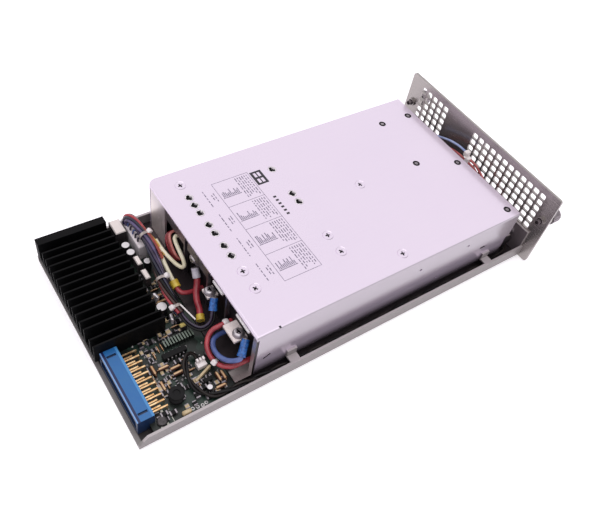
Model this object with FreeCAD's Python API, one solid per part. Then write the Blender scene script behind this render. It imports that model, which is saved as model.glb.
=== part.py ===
import FreeCAD, Part
import math
import os

from FreeCAD import Vector

os.makedirs("parts", exist_ok=True)

# Rack power supply module: a tray with a vented front panel, an open-ended power box, a rear
# control board with its finned heat sink and blind-mating connector, and the wiring between them.
# X runs from the rear connector to the front panel, Y across from the near side, Z up.
# While pieces are built, x = 0 is the power box's open rear end, y = 0 the box's near side and
# z = 0 the tray's underside. save() then moves them to the part's own origin.

# Power box
box_length = 198.0
box_width = 127.0
box_lift = 4.5
box_top = 41.2
cover_sheet = 1.6
base_sheet = 1.2
cover_fit = 0.15
cover_rise = 0.6
cover_bend = 1.4
rear_corner = 5.5
seam = 0.6
base_tab = 10.0
ear_reach = 5.2
ear_rise = 5.2
ear_root = 2.2
ear_corner = 3.0
ear_taper = 4.0
ear_height = 10.0

# Tray
tray_sheet = 1.5
tray_rear = 69.1
near_gutter = 7.0
far_gutter = 3.6
lip_height = 9.0
lip_bevel = 5.0
flange_height = 22.0
tray_bend = 1.2

# Front panel and its vents
front_gap = 13.7
panel_sheet = 1.6
panel_overhang = 13.6
panel_width = 143.8
panel_height = 57.9
panel_corner = 2.0
vent_size = 4.4
vent_corner = 1.1
vent_pitch_y = 5.76
vent_pitch_z = 5.2
vent_rows = 6
vent_low_z = 25.0
near_vent_y = -0.7
near_vent_columns = 12
far_vent_inset = 36.7
far_vent_columns = 5

# Captive panel screws
captive_z = 36.2
near_captive_inset = 5.5
far_captive_inset = 6.0
captive_radius = 2.1
captive_tail = 4.6
tip_radius = 1.5
running_gap = 0.06
sleeve_radius = 2.9
sleeve_head = 4.5
sleeve_front = 4.0
sleeve_back = 0.5
knob_radius = 5.2
knob_length = 8.2
knob_flutes = 16
flute_radius = 0.5
knob_round = 0.8
captive_chamfer = 0.5
clip_thickness = 0.7
clip_radius = 2.9
free_gap = 0.2

# Fasteners
thread_radius = 1.5
thread_fit = 0.05
head_radius = 3.4
dark_head_radius = 2.8
head_depth = 1.3
head_fit = 0.12
pan_radius = 2.8
pan_height = 1.9
pan_round = 0.9
board_screw_length = 3.4
flush_length = 6.0
rivet_radius = 2.2
rivet_fit = 0.25
rivet_clinch = 1.2

# Places beyond far_part were read with the far lip at read_far_lip, and follow it when the width changes.
# Lists named front_ are measured along x from the box's front end.
read_far_lip = 129.1
far_part = 47.0

# Places of the cover's flush screws and rivets, as (x, y)
rear_row_x = 16.1
middle_row_x = 74.0
end_row_x = -5.7
dark_places = [(rear_row_x, y) for y in (103.0, 96.3, 89.5, 79.1, 72.1, 61.8, 53.7)]
dark_places += [(middle_row_x, y) for y in (102.7, 79.3, 71.9)]
pale_places = [(rear_row_x, y) for y in (114.2, 41.3, 28.2)]
pale_places += [(middle_row_x, y) for y in (41.5, 27.9)]
front_pale_places = [(-80.3, 67.2), (-92.0, 9.8)]
front_rivet_places = [(end_row_x, y) for y in (108.2, 55.0, 7.0)]
front_rivet_places += [(-29.0, 108.6), (-33.0, 66.7)]

# Openings in the cover's near wall, as (x, z, length, height, tilt in degrees)
wall_slot = (8.6, 18.6, 4.8, 1.3, 26.0)
front_wall_slot = (-24.8, 21.5, 5.0, 1.5, 0.0)
front_wall_holes = [(-82.1, 30.9), (-42.6, 32.0), (-61.6, 11.8)]
wall_hole_radius = 1.0

# Converters under the cover, as the y of the walls between their bays
converter_walls = [24.5, 45.8, 66.3, 84.4, 106.5]
converter_rear = 12.4
converter_front = 80.4
converter_height = 12.7
converter_gap = 0.4

# Brackets and terminal blocks at the open end
bracket_sheet = 1.2
bracket_depth = 11.0
bracket_x = 0.6
bracket_ys = [79.4, 52.4, 31.8]
flange_edge = 102.5
wing_low = 31.2
wing_high = 38.4
wing_gaps = [0.9, 3.8, None]
block_x = 3.0
block_depth = 7.0
block_heights = [30.0, 30.8]
block_gap = 0.3

# Output shelves let into the two near blocks, as (x of the outer edge, y span), and the strips that lie on
# those blocks along the cover's edge, as y spans
shelves = [(-5.3, (11.9, 24.0)), (-3.6, (43.4, 50.4))]
shelf_sheet = 1.5
shelf_top = 26.0
shelf_root = 4.0
strip_spans = [(7.5, 20.3), (35.0, 45.2)]
strip_sheet = 1.5
strip_edge = -0.3
strip_top = 38.2

# Terminal screws, as (x, y) on the shelves and (y, z) on the second block, and the ring lugs under them, with
# each barrel's two ends measured from its screw's seat
shelf_screws = [(-0.6, 15.5), (-0.6, 46.9)]
block_screw = (70.4, 28.2)
terminal_screw_length = 5.0
lug_sheet = 0.8
lug_radius = 3.4
lug_neck = 1.5
barrel_radius = 2.0
barrels = [((1.5, -5.3, 1.2), (-4.2, -10.7, -3.0)), ((-0.1, -5.2, 1.2), (-2.9, -9.2, -3.0))]
barrels += [((-2.2, -3.6, -3.4), (-2.8, -7.0, -7.2))]
barrel_run_on = 2.2

# Inside the box
power_board_lift = 4.0
board_sheet = 1.6
power_board_edge = 6.0
front_capacitor_places = [(-86.0, 28.0), (-86.0, 53.0), (-61.0, 28.0)]
bulk_radius = 11.5
bulk_height = 26.0
transformer_size = (36.0, 30.0, 26.0)
front_transformer_place = (-48.0, 92.0)
front_choke_place = (-32.0, 30.0)
choke_radius = 12.0
choke_bore = 5.0
choke_height = 12.0
choke_round = 3.0

# Rear control board
board_rear = 60.0
board_front = 11.0
standoff_height = 3.5
standoff_radius = 3.0
board_gap = 0.5
near_standoffs = [(-54.0, -1.6), (-13.8, 22.4)]

# Heat sink
sink_rear = 69.0
sink_front = 28.0
sink_near = 46.2
sink_gap = 0.3
sink_base = 3.2
sink_top = 21.2
fin = 1.0
fin_count = 12
far_channel = 5.98
first_fin = 58.9
side_fins = [51.6, 46.85]
rail_width = 5.3
sink_screw_x = -40.0
sink_screw_length = 7.0

# Rear connector
connector_rear = 66.5
connector_front = 57.0
connector_near = 0.2
connector_far = 45.9
connector_bottom = 2.2
connector_top = 14.0
connector_wall = 2.0
cavity_depth = 5.4
key_slot = (5.2, 1.4)
key_inset = 4.2
key_x = -61.6
key_depth = 0.8
contact = 0.9
contact_pitch = 3.73
contact_first = 4.4
contact_pairs = 11
contact_reach = 9.2
contact_short = 6.0
contact_z = 9.4

# Board components: (x, y, radius, top) for round ones, (x span, y span, top) for square ones
can_edge = 0.4
block_edge = 0.5
round_caps = [(-23.8, 106.4, 2.4, 16.0), (-23.4, 100.2, 2.4, 16.0), (-17.0, 91.3, 2.2, 14.0)]
round_caps += [(-24.2, 58.5, 3.0, 13.2), (-24.2, 2.6, 1.6, 10.0)]
film_caps = [((-23.6, -20.5), (90.0, 97.0), 15.0), ((-24.0, -20.8), (78.6, 86.0), 15.0)]
film_caps += [((-20.4, -16.6), (42.6, 45.2), 10.4)]
relay_block = ((-26.2, -19.6), (113.8, 125.0), 19.0)
wire_header = ((-18.4, -13.8), (99.5, 125.2), 17.5)
plug_header = ((-24.0, -18.6), (15.5, 19.5), 12.4)
chip_bodies = [((-38.0, -23.4), (27.6, 33.2), 10.2), ((-25.4, -20.2), (5.0, 9.6), 9.8)]
chip_lift = 0.6
chip_foot = 0.4
chip_foot_inset = 1.0
chip_foot_height = 2.0
coil = (-41.6, 6.8, 4.2, 12.4)
network = (-23.2, 12.0, 12.0, 1.2, 2.6, 23.0)
resistor_row_x = (-33.2, -16.4)
resistor_row_y = (35.2, 39.6)
resistor_row_count = 11
resistor_row_top = 10.2
resistor_row_width = 0.9
axial_radius = 1.1
axial_lift = 1.6
axial_length = 5.2
axial_lead = 0.35
axial_tail = 1.0
axials_along_x = [(-40.0, 25.2), (-34.4, 18.8), (-34.4, 22.4), (-18.6, 0.8), (-21.8, 69.0), (-21.4, 64.6)]
axials_along_y = [(-45.2, 26.2), (-45.0, 15.4), (-16.8, 6.4), (-14.0, 6.2)]

# Clips between the near lip and the box, as the x of their middles
clip_x = 25.6
front_clip_x = -18.4
clip_width = 6.4
clip_sheet = 1.2
clip_z = 7.4
clip_upstand = 6.0

# Fastenings of the box to the tray, as distances from the box's edges
spacer_inset_x = 25.0
spacer_inset_y = 20.0
spacer_radius = 5.0
panel_screw_inset = 12.0
panel_screw_z = 14.5

# Wiring: tube radii and routes, chosen by hand along the photographed runs. The harness tail ends at a
# ring lug, and the feed lead and blue loop start at one, so those ends come from the lugs.
bundle_radius = 3.0
bundle_route = [
    (-16.1, 121.0, 17.5), (-16.1, 121.0, 22.6), (-14.4, 114.6, 25.0), (-13.4, 107.0, 23.8),
    (-12.9, 98.0, 22.4), (-14.6, 88.0, 21.4), (-17.0, 76.5, 20.2), (-18.4, 66.0, 18.8),
    (-18.9, 56.0, 17.4), (-18.4, 47.6, 15.8),
]
tail_radius = 1.8
tail_route = [
    (-18.4, 47.6, 15.8), (-18.15, 43.4, 15.0), (-15.8, 38.2, 13.8), (-12.4, 34.6, 13.3),
    (-8.6, 33.6, 15.0), (-5.4, 34.4, 18.2),
]
cream_radius = 1.2
cream_route = [
    (-8.6, 97.0, 22.4), (-8.4, 90.0, 21.2), (-6.6, 83.4, 19.2), (-4.6, 78.4, 17.4),
    (-2.8, 75.2, 17.0), (-1.5, 74.6, 19.0), (-1.1, 77.0, 21.6), (-0.9, 87.0, 26.4),
    (0.0, 90.4, 27.6), (3.0, 90.4, 27.6),
]
jumper_route = [
    (-9.4, 94.6, 18.4), (-10.0, 87.0, 18.6), (-11.0, 79.0, 18.2), (-11.3, 73.0, 17.0),
    (-11.3, 69.6, 15.9),
]
red_radius = 0.8
red_route = [
    (3.0, 96.5, 25.0), (-0.6, 96.5, 25.0), (-2.8, 93.0, 23.8), (-3.2, 88.6, 20.8),
    (-2.8, 85.2, 17.4), (-0.8, 82.8, 14.2), (3.0, 82.8, 14.2),
]
red_offsets = [(0.0, 0.0, 0.0), (0.0, 2.6, -3.0), (0.0, -1.9, 2.6)]
cross_radius = 1.4
cross_route = [
    (-11.3, 65.4, 14.54), (-11.3, 63.4, 13.9), (-9.6, 61.4, 13.0), (-6.0, 60.6, 12.4),
    (-1.6, 60.4, 12.2), (3.0, 60.4, 12.2),
]
feed_radius = 1.9
feed_route = [
    (-0.9, 60.4, 17.6), (-3.2, 57.2, 15.2), (-5.2, 52.4, 13.0), (-5.9, 47.8, 11.8), (-7.3, 44.6, 11.0),
]
loop_radius = 1.4
loop_route = [
    (3.0, 28.0, 20.2), (-4.2, 28.0, 20.2), (-9.0, 28.6, 18.4), (-12.6, 26.8, 16.4),
    (-15.8, 22.2, 14.6), (-16.4, 15.8, 13.4), (-14.2, 9.2, 13.0), (-9.4, 5.6, 13.4),
    (-4.0, 5.0, 14.0), (3.0, 5.0, 14.0),
]
blue_route = [
    (-8.6, 4.8, 20.4), (-11.4, 7.4, 19.0), (-13.3, 11.1, 18.0), (-13.9, 15.7, 17.0),
    (-12.9, 20.6, 16.3), (-10.2, 24.6, 15.8), (-6.0, 26.2, 15.0), (-2.4, 26.2, 14.6), (3.0, 26.2, 14.6),
]
cable_radius = 1.8
cable_route = [
    (-21.4, 19.5, 9.4), (-21.4, 22.4, 9.4), (-23.6, 25.0, 11.6), (-27.6, 23.8, 13.2),
    (-30.8, 18.4, 12.4), (-32.2, 11.4, 10.8), (-31.4, 5.8, 9.6), (-28.8, 1.2, 8.8),
    (-24.6, -2.4, 8.6), (-17.6, -3.5, 8.5), (-8.6, -3.3, 8.4), (8.0, -3.0, 4.6),
    (36.0, -2.8, 3.5), (80.0, -3.2, 3.5),
]
front_cable_route = [
    (-72.0, -2.8, 3.5), (-32.0, -3.2, 3.5), (-10.0, -2.8, 3.6), (2.0, -2.2, 4.2), (7.2, 3.2, 5.2),
    (7.4, 12.0, 7.4),
]
lead_radius = 0.8
front_blue_route = [
    (7.0, 60.4, 41.6), (7.0, 66.6, 41.6), (7.0, 75.0, 39.8), (6.8, 83.1, 36.6), (6.2, 89.6, 33.8),
    (4.8, 94.0, 30.4), (0.0, 94.0, 30.4),
]
front_red_routes = [
    [(6.5, 12.03, 7.41), (6.57, 15.23, 8.21), (6.0, 22.4, 13.4), (5.6, 29.6, 23.4), (5.8, 35.6, 30.2),
     (6.2, 42.2, 33.6), (6.6, 49.4, 36.3), (6.6, 54.6, 36.3)],
    [(8.35, 12.0, 7.4), (8.42, 15.2, 8.2), (8.4, 22.0, 13.6), (8.2, 29.4, 23.8), (8.0, 36.0, 31.4),
     (7.8, 43.0, 35.6), (7.4, 49.8, 38.6), (7.4, 54.6, 38.6)],
    [(5.8, 57.8, 37.2), (5.8, 63.4, 37.2), (5.4, 70.0, 36.5), (4.8, 76.6, 34.2), (4.2, 84.0, 30.2),
     (3.2, 88.6, 25.4), (0.0, 88.6, 25.4)],
]
front_plug_x = (4.8, 8.8)
plug_halves = [((57.2, 60.4), (39.8, 43.2)), ((54.6, 57.8), (35.4, 39.8))]
tie_band = 0.7
tie_width = 2.0
tie_head = 3.6
tie_fit = 0.05
splice_radius = 2.7
splice_route = [(-11.3, 69.6, 15.9), (-11.3, 65.4, 14.54)]
end_sleeve_radius = 2.5
end_sleeve_route = [(-7.3, 44.6, 11.0), (-8.7, 41.4, 10.2)]
crimp_radius = 2.4
crimp_x = (-2.4, 1.0)

# How far a cutting tool runs past the faces it cuts, and the slack for picking edges by place
over = 1.0
slack = 0.01

# Share of the shorter run that a bend in a lead may take up
bend_reach = 0.45

# Places worked out from the sizes above
panel_back = box_length + front_gap
panel_front = panel_back + panel_sheet
knob_back = panel_front + sleeve_front + free_gap
clip_front = panel_back - sleeve_back - free_gap
part_front = knob_back + knob_length
tray_near = -near_gutter
tray_far = box_width + far_gutter
near_lip = tray_near + tray_sheet
far_lip = tray_far - tray_sheet
origin = Vector((part_front - tray_rear) / 2, (tray_far - panel_overhang) / 2, 0)
board_bottom = tray_sheet + standoff_height
board_top = board_bottom + board_sheet
cover_under = box_top - cover_sheet
base_floor = box_lift + base_sheet
power_board_low = base_floor + power_board_lift
base_near = cover_sheet + cover_fit
base_far = box_width - cover_sheet - cover_fit
wall_top = cover_under - cover_fit
seam_y = box_width - rear_corner
panel_near = -panel_overhang
panel_far = panel_near + panel_width
captive_ys = {"near": panel_near + near_captive_inset, "far": panel_far - far_captive_inset}
joint_near = max(near_lip, panel_near) + panel_screw_inset
joint_far = min(far_lip, panel_far) - panel_screw_inset
panel_screw_ys = [joint_near, (joint_near + joint_far) / 2, joint_far]
sink_far = far_lip - sink_gap
sink_rail = sink_far - rail_width
last_fin = sink_rail - far_channel - fin / 2
fin_pitch = (last_fin - first_fin) / (fin_count - 1)
far_share = (far_lip - far_part) / (read_far_lip - far_part)


def across(y):
    """Where a place read at y lies across the box as it is now."""
    return far_part + (y - far_part) * far_share if y > far_part else y


def spots(places, start=0):
    return [(start + x, across(y)) for x, y in places]


def moved(route, start=0):
    return [(start + x, across(y), z) for x, y, z in route]


def spread(place):
    """A square component's place: its x span, its y span followed across the board, and its top."""
    x, y, top = place
    return x, (across(y[0]), across(y[1])), top


dark_screws = spots(dark_places)
pale_screws = spots(pale_places) + spots(front_pale_places, box_length)
cover_rivets = spots(front_rivet_places, box_length)
flange_near = across(flange_edge)
brackets = [across(y) for y in bracket_ys]


def block(x, y, z):
    return Part.makeBox(x[1] - x[0], y[1] - y[0], z[1] - z[0], Vector(x[0], y[0], z[0]))


def rod(radius, start, end):
    along = end - start
    return Part.makeCylinder(radius, along.Length, start, along)


def rod_x(radius, x, y, z):
    return rod(radius, Vector(x[0], y, z), Vector(x[1], y, z))


def rod_y(radius, x, y, z):
    return rod(radius, Vector(x, y[0], z), Vector(x, y[1], z))


def rod_z(radius, x, y, z):
    return rod(radius, Vector(x, y, z[0]), Vector(x, y, z[1]))


def prism(points, along):
    return Part.Face(Part.makePolygon(points + [points[0]])).extrude(along)


def turned(profile, start, axis):
    """Revolve (radius, distance along the axis) points about the axis through start."""
    side = Vector(0, 0, 1)
    points = [start + axis * along + side * radius for radius, along in profile]
    face = Part.Face(Part.makePolygon(points + [points[0]]))
    return face.revolve(start, axis, 360)


def fused(shapes):
    return shapes[0].multiFuse(shapes[1:]).removeSplitter() if len(shapes) > 1 else shapes[0]


def cut(shape, tools):
    return shape.cut(Part.makeCompound(tools)) if tools else shape


def swept(route, radius):
    """A round rod along straight runs joined by tangent arcs as large as the runs allow."""
    points = [Vector(*p) for p in route]
    edges = []
    radii = []
    last = points[0]
    for before, corner, after in zip(points, points[1:], points[2:]):
        run_in = corner - before
        run_out = after - corner
        turn = run_in.getAngle(run_out)
        reach = bend_reach * min(run_in.Length, run_out.Length)
        bend = reach / math.tan(turn / 2)
        radii.append(bend)
        way_in = Vector(run_in).normalize()
        way_out = Vector(run_out).normalize()
        start = corner - way_in * reach
        end = corner + way_out * reach
        inward = (way_out - way_in).normalize()
        middle = corner + inward * (bend / math.cos(turn / 2) - bend)
        edges.append(Part.LineSegment(last, start).toShape())
        edges.append(Part.Arc(start, middle, end).toShape())
        last = end
    edges.append(Part.LineSegment(last, points[-1]).toShape())
    path = Part.Wire(edges)
    section = Part.Wire(Part.makeCircle(radius, points[0], points[1] - points[0]))
    return path.makePipeShell([section], True, False), path.Length, radii


def tube(name, route, radius):
    """A lead along its route, with its bends and the share of its volume that was swept printed."""
    solid, length, radii = swept(route, radius)
    share = solid.Volume / (math.pi * radius ** 2 * length)
    print(f"{name}: length {length:.1f}, tightest bend {min(radii):.1f}, volume share {share:.4f}")
    return solid


def save(name, shapes):
    """Move a node's solids to the part's origin and write them as one file."""
    shapes = shapes if isinstance(shapes, list) else [shapes]
    solids = [solid for shape in shapes for solid in shape.Solids]
    shape = solids[0] if len(solids) == 1 else Part.makeCompound(solids)
    shape.translate(-origin)
    shape.exportStep(f"parts/{name}.step")


# Tray: floor, two lips and the front flange, folded from one sheet
def tray():
    shape = block((-tray_rear, panel_back), (tray_near, tray_far), (0, lip_height))
    bends = [e for e in shape.Edges if is_low_side_edge(e)]
    shape = shape.makeFillet(tray_bend, bends)
    ends = (-tray_rear - over, panel_back + over)
    inside = block(ends, (near_lip, far_lip), (tray_sheet, lip_height + over))
    shape = shape.cut(inside)
    flange = block((panel_back - tray_sheet, panel_back), (near_lip, far_lip), (0, flange_height))
    shape = shape.fuse(flange).removeSplitter()
    bevel = [Vector(-tray_rear - over, tray_near - over, lip_height + over),
             Vector(-tray_rear + lip_bevel + over, tray_near - over, lip_height + over),
             Vector(-tray_rear - over, tray_near - over, lip_height - lip_bevel - over)]
    tools = [prism(bevel, Vector(0, tray_far - tray_near + 2 * over, 0))]
    for x, y in box_fastenings():
        tools.append(countersink(x, y, 0, 1, head_radius))
    for y in panel_screw_ys:
        through = (panel_back - tray_sheet - over, panel_back + over)
        tools.append(rod_x(thread_radius + head_fit, through, y, panel_screw_z))
    return cut(shape, tools)


def is_low_side_edge(edge):
    box = edge.BoundBox
    return box.XLength > tray_sheet and box.ZMax < slack


def box_fastenings():
    xs = (spacer_inset_x, box_length - spacer_inset_x)
    ys = (spacer_inset_y, box_width - spacer_inset_y)
    return [(x, y) for x in xs for y in ys]


def countersink(x, y, face, up, radius):
    """The seat of a flush screw whose head lies level with a face; up is the way into the sheet."""
    low_radius = thread_radius + head_fit
    cone = Part.makeCone(radius + head_fit, low_radius, head_depth, Vector(x, y, face), Vector(0, 0, up))
    return cone.fuse(rod(low_radius, Vector(x, y, face), Vector(x, y, face + up * flush_length)))


def flush_screw(x, y, face, up, length, radius):
    """A flat-headed screw level with a face, its thread running the way of up."""
    way = Vector(0, 0, up)
    head = Part.makeCone(radius, thread_radius, head_depth, Vector(x, y, face), way)
    shank = rod(thread_radius, Vector(x, y, face + up * head_depth), Vector(x, y, face + up * length))
    return head.fuse(shank)


# Front panel: a plate with rounded corners and two grids of rounded square vents
def front_panel():
    shape = block((panel_back, panel_front), (panel_near, panel_far), (0, panel_height))
    corners = [e for e in shape.Edges if e.BoundBox.XLength > panel_sheet / 2]
    shape = shape.makeFillet(panel_corner, corners)
    through = (panel_back - over, panel_front + over)
    tools = [rod_x(sleeve_radius, through, y, captive_z) for y in captive_ys.values()]
    tools += [rod_x(thread_radius + thread_fit, through, y, panel_screw_z) for y in panel_screw_ys]
    far_vent_y = panel_far - far_vent_inset
    for first, columns in ((near_vent_y, near_vent_columns), (far_vent_y, far_vent_columns)):
        for column in range(columns):
            for row in range(vent_rows):
                tools.append(vent(first + column * vent_pitch_y, vent_low_z + row * vent_pitch_z))
    return cut(shape, tools)


def vent(y, z):
    half = vent_size / 2
    shape = block((panel_back - over, panel_front + over), (y - half, y + half), (z - half, z + half))
    return shape.makeFillet(vent_corner, [e for e in shape.Edges if e.BoundBox.XLength > panel_sheet])


# Captive screw: a fluted knob, shank and tip that turn in a pressed sleeve, kept by a clip behind it
def captive_sleeve(y):
    shape = rod_x(sleeve_radius, (panel_back - sleeve_back, panel_front + sleeve_front), y, captive_z)
    collar = rod_x(sleeve_head, (panel_front, panel_front + sleeve_front), y, captive_z)
    through = (panel_back - sleeve_back - over, panel_front + sleeve_front + over)
    bore = rod_x(captive_radius + running_gap, through, y, captive_z)
    return shape.fuse(collar).cut(bore).removeSplitter()


def captive_screw(y):
    tail = panel_back - captive_tail
    shoulder = clip_front - clip_thickness - free_gap
    end = part_front
    profile = [(0, tail), (tip_radius - captive_chamfer, tail), (tip_radius, tail + captive_chamfer),
               (tip_radius, shoulder), (captive_radius, shoulder), (captive_radius, knob_back),
               (knob_radius - knob_round, knob_back), (knob_radius, knob_back + knob_round),
               (knob_radius, end - knob_round), (knob_radius - knob_round, end), (0, end)]
    shape = turned(profile, Vector(0, y, captive_z), Vector(1, 0, 0))
    flutes = []
    for k in range(knob_flutes):
        angle = 2 * math.pi * k / knob_flutes
        place_y = y + knob_radius * math.cos(angle)
        place_z = captive_z + knob_radius * math.sin(angle)
        flutes.append(rod_x(flute_radius, (knob_back - over, end + over), place_y, place_z))
    return cut(shape, flutes)


def captive_clip(y):
    back = clip_front - clip_thickness
    ring = rod_x(clip_radius, (back, clip_front), y, captive_z)
    return ring.cut(rod_x(captive_radius, (back - over, clip_front + over), y, captive_z))


# Box base: floor, side walls, closed front, a flange at the far rear corner and a near ear
def box_base():
    walls = block((0, box_length), (base_near, base_far), (box_lift, wall_top))
    inner = block((-over, box_length - base_sheet), (base_near + base_sheet, base_far - base_sheet),
                  (base_floor, wall_top + over))
    round_corner = block((-over, rear_corner), (seam_y, base_far + over), (box_lift - over, wall_top + over))
    shape = walls.cut(inner).cut(round_corner)
    floor = block((-base_tab, base_sheet), (0, seam_y), (box_lift, base_floor))
    flange = block((0, base_sheet), (flange_near, seam_y - seam), (box_lift, wall_top))
    strip = block((0, base_sheet), (0, base_near + base_sheet), (box_lift, wall_top - cover_bend))
    ear = prism([Vector(x, 0, z) for x, z in ear_outline()], Vector(0, base_near + base_sheet, 0))
    shape = fused([shape, floor, flange, strip, ear])
    tools = [rod_z(thread_radius + thread_fit, x, y, (box_lift - over, base_floor + over))
             for x, y in box_fastenings()]
    return cut(shape, tools)


def ear_outline():
    rear = box_length - ear_root
    front = box_length + ear_reach
    low = box_lift + ear_rise
    high = low + ear_height
    return [(rear, low), (front - ear_corner, low), (front, low + ear_corner), (front, high - ear_taper),
            (front - ear_corner, high), (rear, high)]


# Box cover: a folded lid wrapped round the far rear corner, with its screw seats and near wall openings
def box_cover():
    low = box_lift + cover_rise
    shape = block((0, box_length), (0, box_width), (low, box_top))
    corner = [e for e in shape.Edges if is_upright_at(e, 0, box_width)]
    shape = shape.makeFillet(rear_corner, corner)
    shape = shape.makeFillet(cover_bend, long_sides(shape))
    sides = (cover_sheet, box_width - cover_sheet)
    inside = block((cover_sheet, box_length + over), sides, (low - over, cover_under))
    corner = [e for e in inside.Edges if is_upright_at(e, cover_sheet, box_width - cover_sheet)]
    inside = inside.makeFillet(rear_corner - cover_sheet, corner)
    shape = shape.cut(inside)
    mouth = block((-over, rear_corner), (cover_sheet, seam_y), (low - over, cover_under))
    wall = (-over, cover_sheet + over)
    near_end = block((-over, base_sheet + seam), wall, (low - over, wall_top - cover_bend + seam))
    near_foot = block((box_length - ear_root - seam, box_length + over), wall,
                      (low - over, box_lift + ear_rise + ear_height + seam))
    tools = [mouth, near_end, near_foot]
    tools += [countersink(x, y, box_top, -1, dark_head_radius) for x, y in dark_screws]
    tools += [countersink(x, y, box_top, -1, head_radius) for x, y in pale_screws]
    through = (cover_under - over, box_top + over)
    tools += [rod_z(rivet_radius + rivet_fit, x, y, through) for x, y in cover_rivets]
    for start, (x, z, length, height, tilt) in ((0, wall_slot), (box_length, front_wall_slot)):
        slot = block((-length / 2, length / 2), wall, (-height / 2, height / 2))
        slot.rotate(Vector(0, 0, 0), Vector(0, 1, 0), -tilt)
        tools.append(slot.translate(Vector(start + x, 0, z)))
    tools += [rod_y(wall_hole_radius, box_length + x, wall, z) for x, z in front_wall_holes]
    return cut(shape, tools)


def is_upright_at(edge, x, y):
    box = edge.BoundBox
    return box.ZLength > cover_sheet and abs(box.Center.x - x) < slack and abs(box.Center.y - y) < slack


def long_sides(shape):
    found = []
    for edge in shape.Edges:
        box = edge.BoundBox
        if box.ZMin > box_top - slack and box.XLength > box_length / 2:
            found.append(edge)
    return found


def cover_rivet(x, y):
    low = cover_under - rivet_clinch
    clinch = rod_z(rivet_radius + rivet_clinch, x, y, (low, cover_under))
    return rod_z(rivet_radius, x, y, (low, box_top)).fuse(clinch)


# Converters hang under the cover, drilled for the flush screws
def converter(near, far):
    low = cover_under - converter_height
    shape = block((converter_rear, converter_front), (near + converter_gap / 2, far - converter_gap / 2),
                  (low, cover_under))
    tools = []
    for x, y in dark_screws + pale_screws:
        if near < y < far and converter_rear < x < converter_front:
            tools.append(rod_z(thread_radius + thread_fit, x, y, (box_top - flush_length - over, box_top)))
    return cut(shape, tools)


# Folded brackets part the bays at the open end
def bay_bracket(y, next_wall, wing_gap):
    half = bracket_sheet / 2
    shape = block((bracket_x, bracket_x + bracket_depth), (y - half, y + half), (base_floor, wall_top))
    if wing_gap:
        wing = block((bracket_x, bracket_x + bracket_sheet), (y - half, next_wall - wing_gap),
                     (wing_low, wing_high))
        shape = shape.fuse(wing).removeSplitter()
    return shape


def bays():
    half = bracket_sheet / 2
    walls = [flange_near] + brackets + [base_near + base_sheet - half]
    return [(low + half, high - half) for high, low in zip(walls, walls[1:])]


def terminal_blocks():
    heights = block_heights + [strip_top - strip_sheet] * len(strip_spans)
    seat, out, *barrel = lugs()[-1]
    tools = [shelf(*place) for place in shelves]
    tools.append(rod(thread_radius, seat, seat - out * terminal_screw_length))
    shapes = []
    for (low, high), height in zip(bays(), heights):
        sides = (low + block_gap, high - block_gap)
        shapes.append(cut(block((block_x, block_x + block_depth), sides, (base_floor, height)), tools))
    return shapes


# Output bars: a shelf let into each near block for a lug, and a strip on the block along the cover's edge
def shelf(edge, span):
    sides = (across(span[0]), across(span[1]))
    return block((edge, block_x + shelf_root), sides, (shelf_top - shelf_sheet, shelf_top))


def output_bars():
    through = (shelf_top - shelf_sheet - over, shelf_top + over)
    shapes = [shelf(*place).cut(rod_z(thread_radius, x, across(y), through))
              for place, (x, y) in zip(shelves, shelf_screws)]
    ends = (strip_edge, block_x + block_depth)
    return shapes + [block(ends, span, (strip_top - strip_sheet, strip_top)) for span in strip_spans]


# Ring lugs under the terminal screws, each with a short neck and a slanting barrel
def lugs():
    """Each lug's seat, the way out of it, and its barrel's two ends."""
    seats = [(Vector(x, across(y), shelf_top), Vector(0, 0, 1)) for x, y in shelf_screws]
    seats.append((Vector(block_x, across(block_screw[0]), block_screw[1]), Vector(-1, 0, 0)))
    return [(seat, out, seat + Vector(*start), seat + Vector(*end))
            for (seat, out), (start, end) in zip(seats, barrels)]


def ring_lug(seat, out, start, end):
    ring = rod(lug_radius, seat, seat + out * lug_sheet)
    foot = start - out * (start - seat).dot(out)
    side = (foot - seat).cross(out).normalize() * lug_neck
    neck = prism([seat + side, foot + side, foot - side, seat - side], out * lug_sheet)
    shape = fused([ring, neck, rod(barrel_radius, start, end)])
    return shape.cut(rod(thread_radius, seat - out * over, seat + out * (lug_sheet + over)))


def lug_run(lug):
    """The two points by which a lead leaves a lug's barrel along its axis."""
    start, end = lugs()[lug][2:]
    return [tuple(end), tuple(end + (end - start).normalize() * barrel_run_on)]


# Rear control board and what it stands on
def control_board():
    sides = (near_lip + board_gap, far_lip - board_gap)
    shape = block((-board_rear, -board_front), sides, (board_bottom, board_top))
    tools = [rod_z(thread_radius + head_fit, x, y, (board_bottom - over, board_top + over))
             for x, y in near_standoffs + sink_screws()]
    return cut(shape, tools)


def sink_screws():
    near_channel = (side_fins[0] + first_fin) / 2
    return [(sink_screw_x, near_channel), (sink_screw_x, sink_rail - far_channel / 2)]


def standoffs():
    shapes = []
    for x, y in near_standoffs + sink_screws():
        post = rod_z(standoff_radius, x, y, (tray_sheet, board_bottom))
        shapes.append(post.cut(rod_z(thread_radius + thread_fit, x, y, (tray_sheet, board_bottom))))
    return shapes


def pan_screw(seat, out, length):
    """A pan-headed screw, its head on the way out of its seat and its thread the other way."""
    top = seat + out * pan_height
    head = rod(pan_radius, seat, top)
    rim = [e for e in head.Edges if (e.BoundBox.Center - top).Length < slack]
    return head.makeFillet(pan_round, rim).fuse(rod(thread_radius, seat - out * length, seat))


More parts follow.
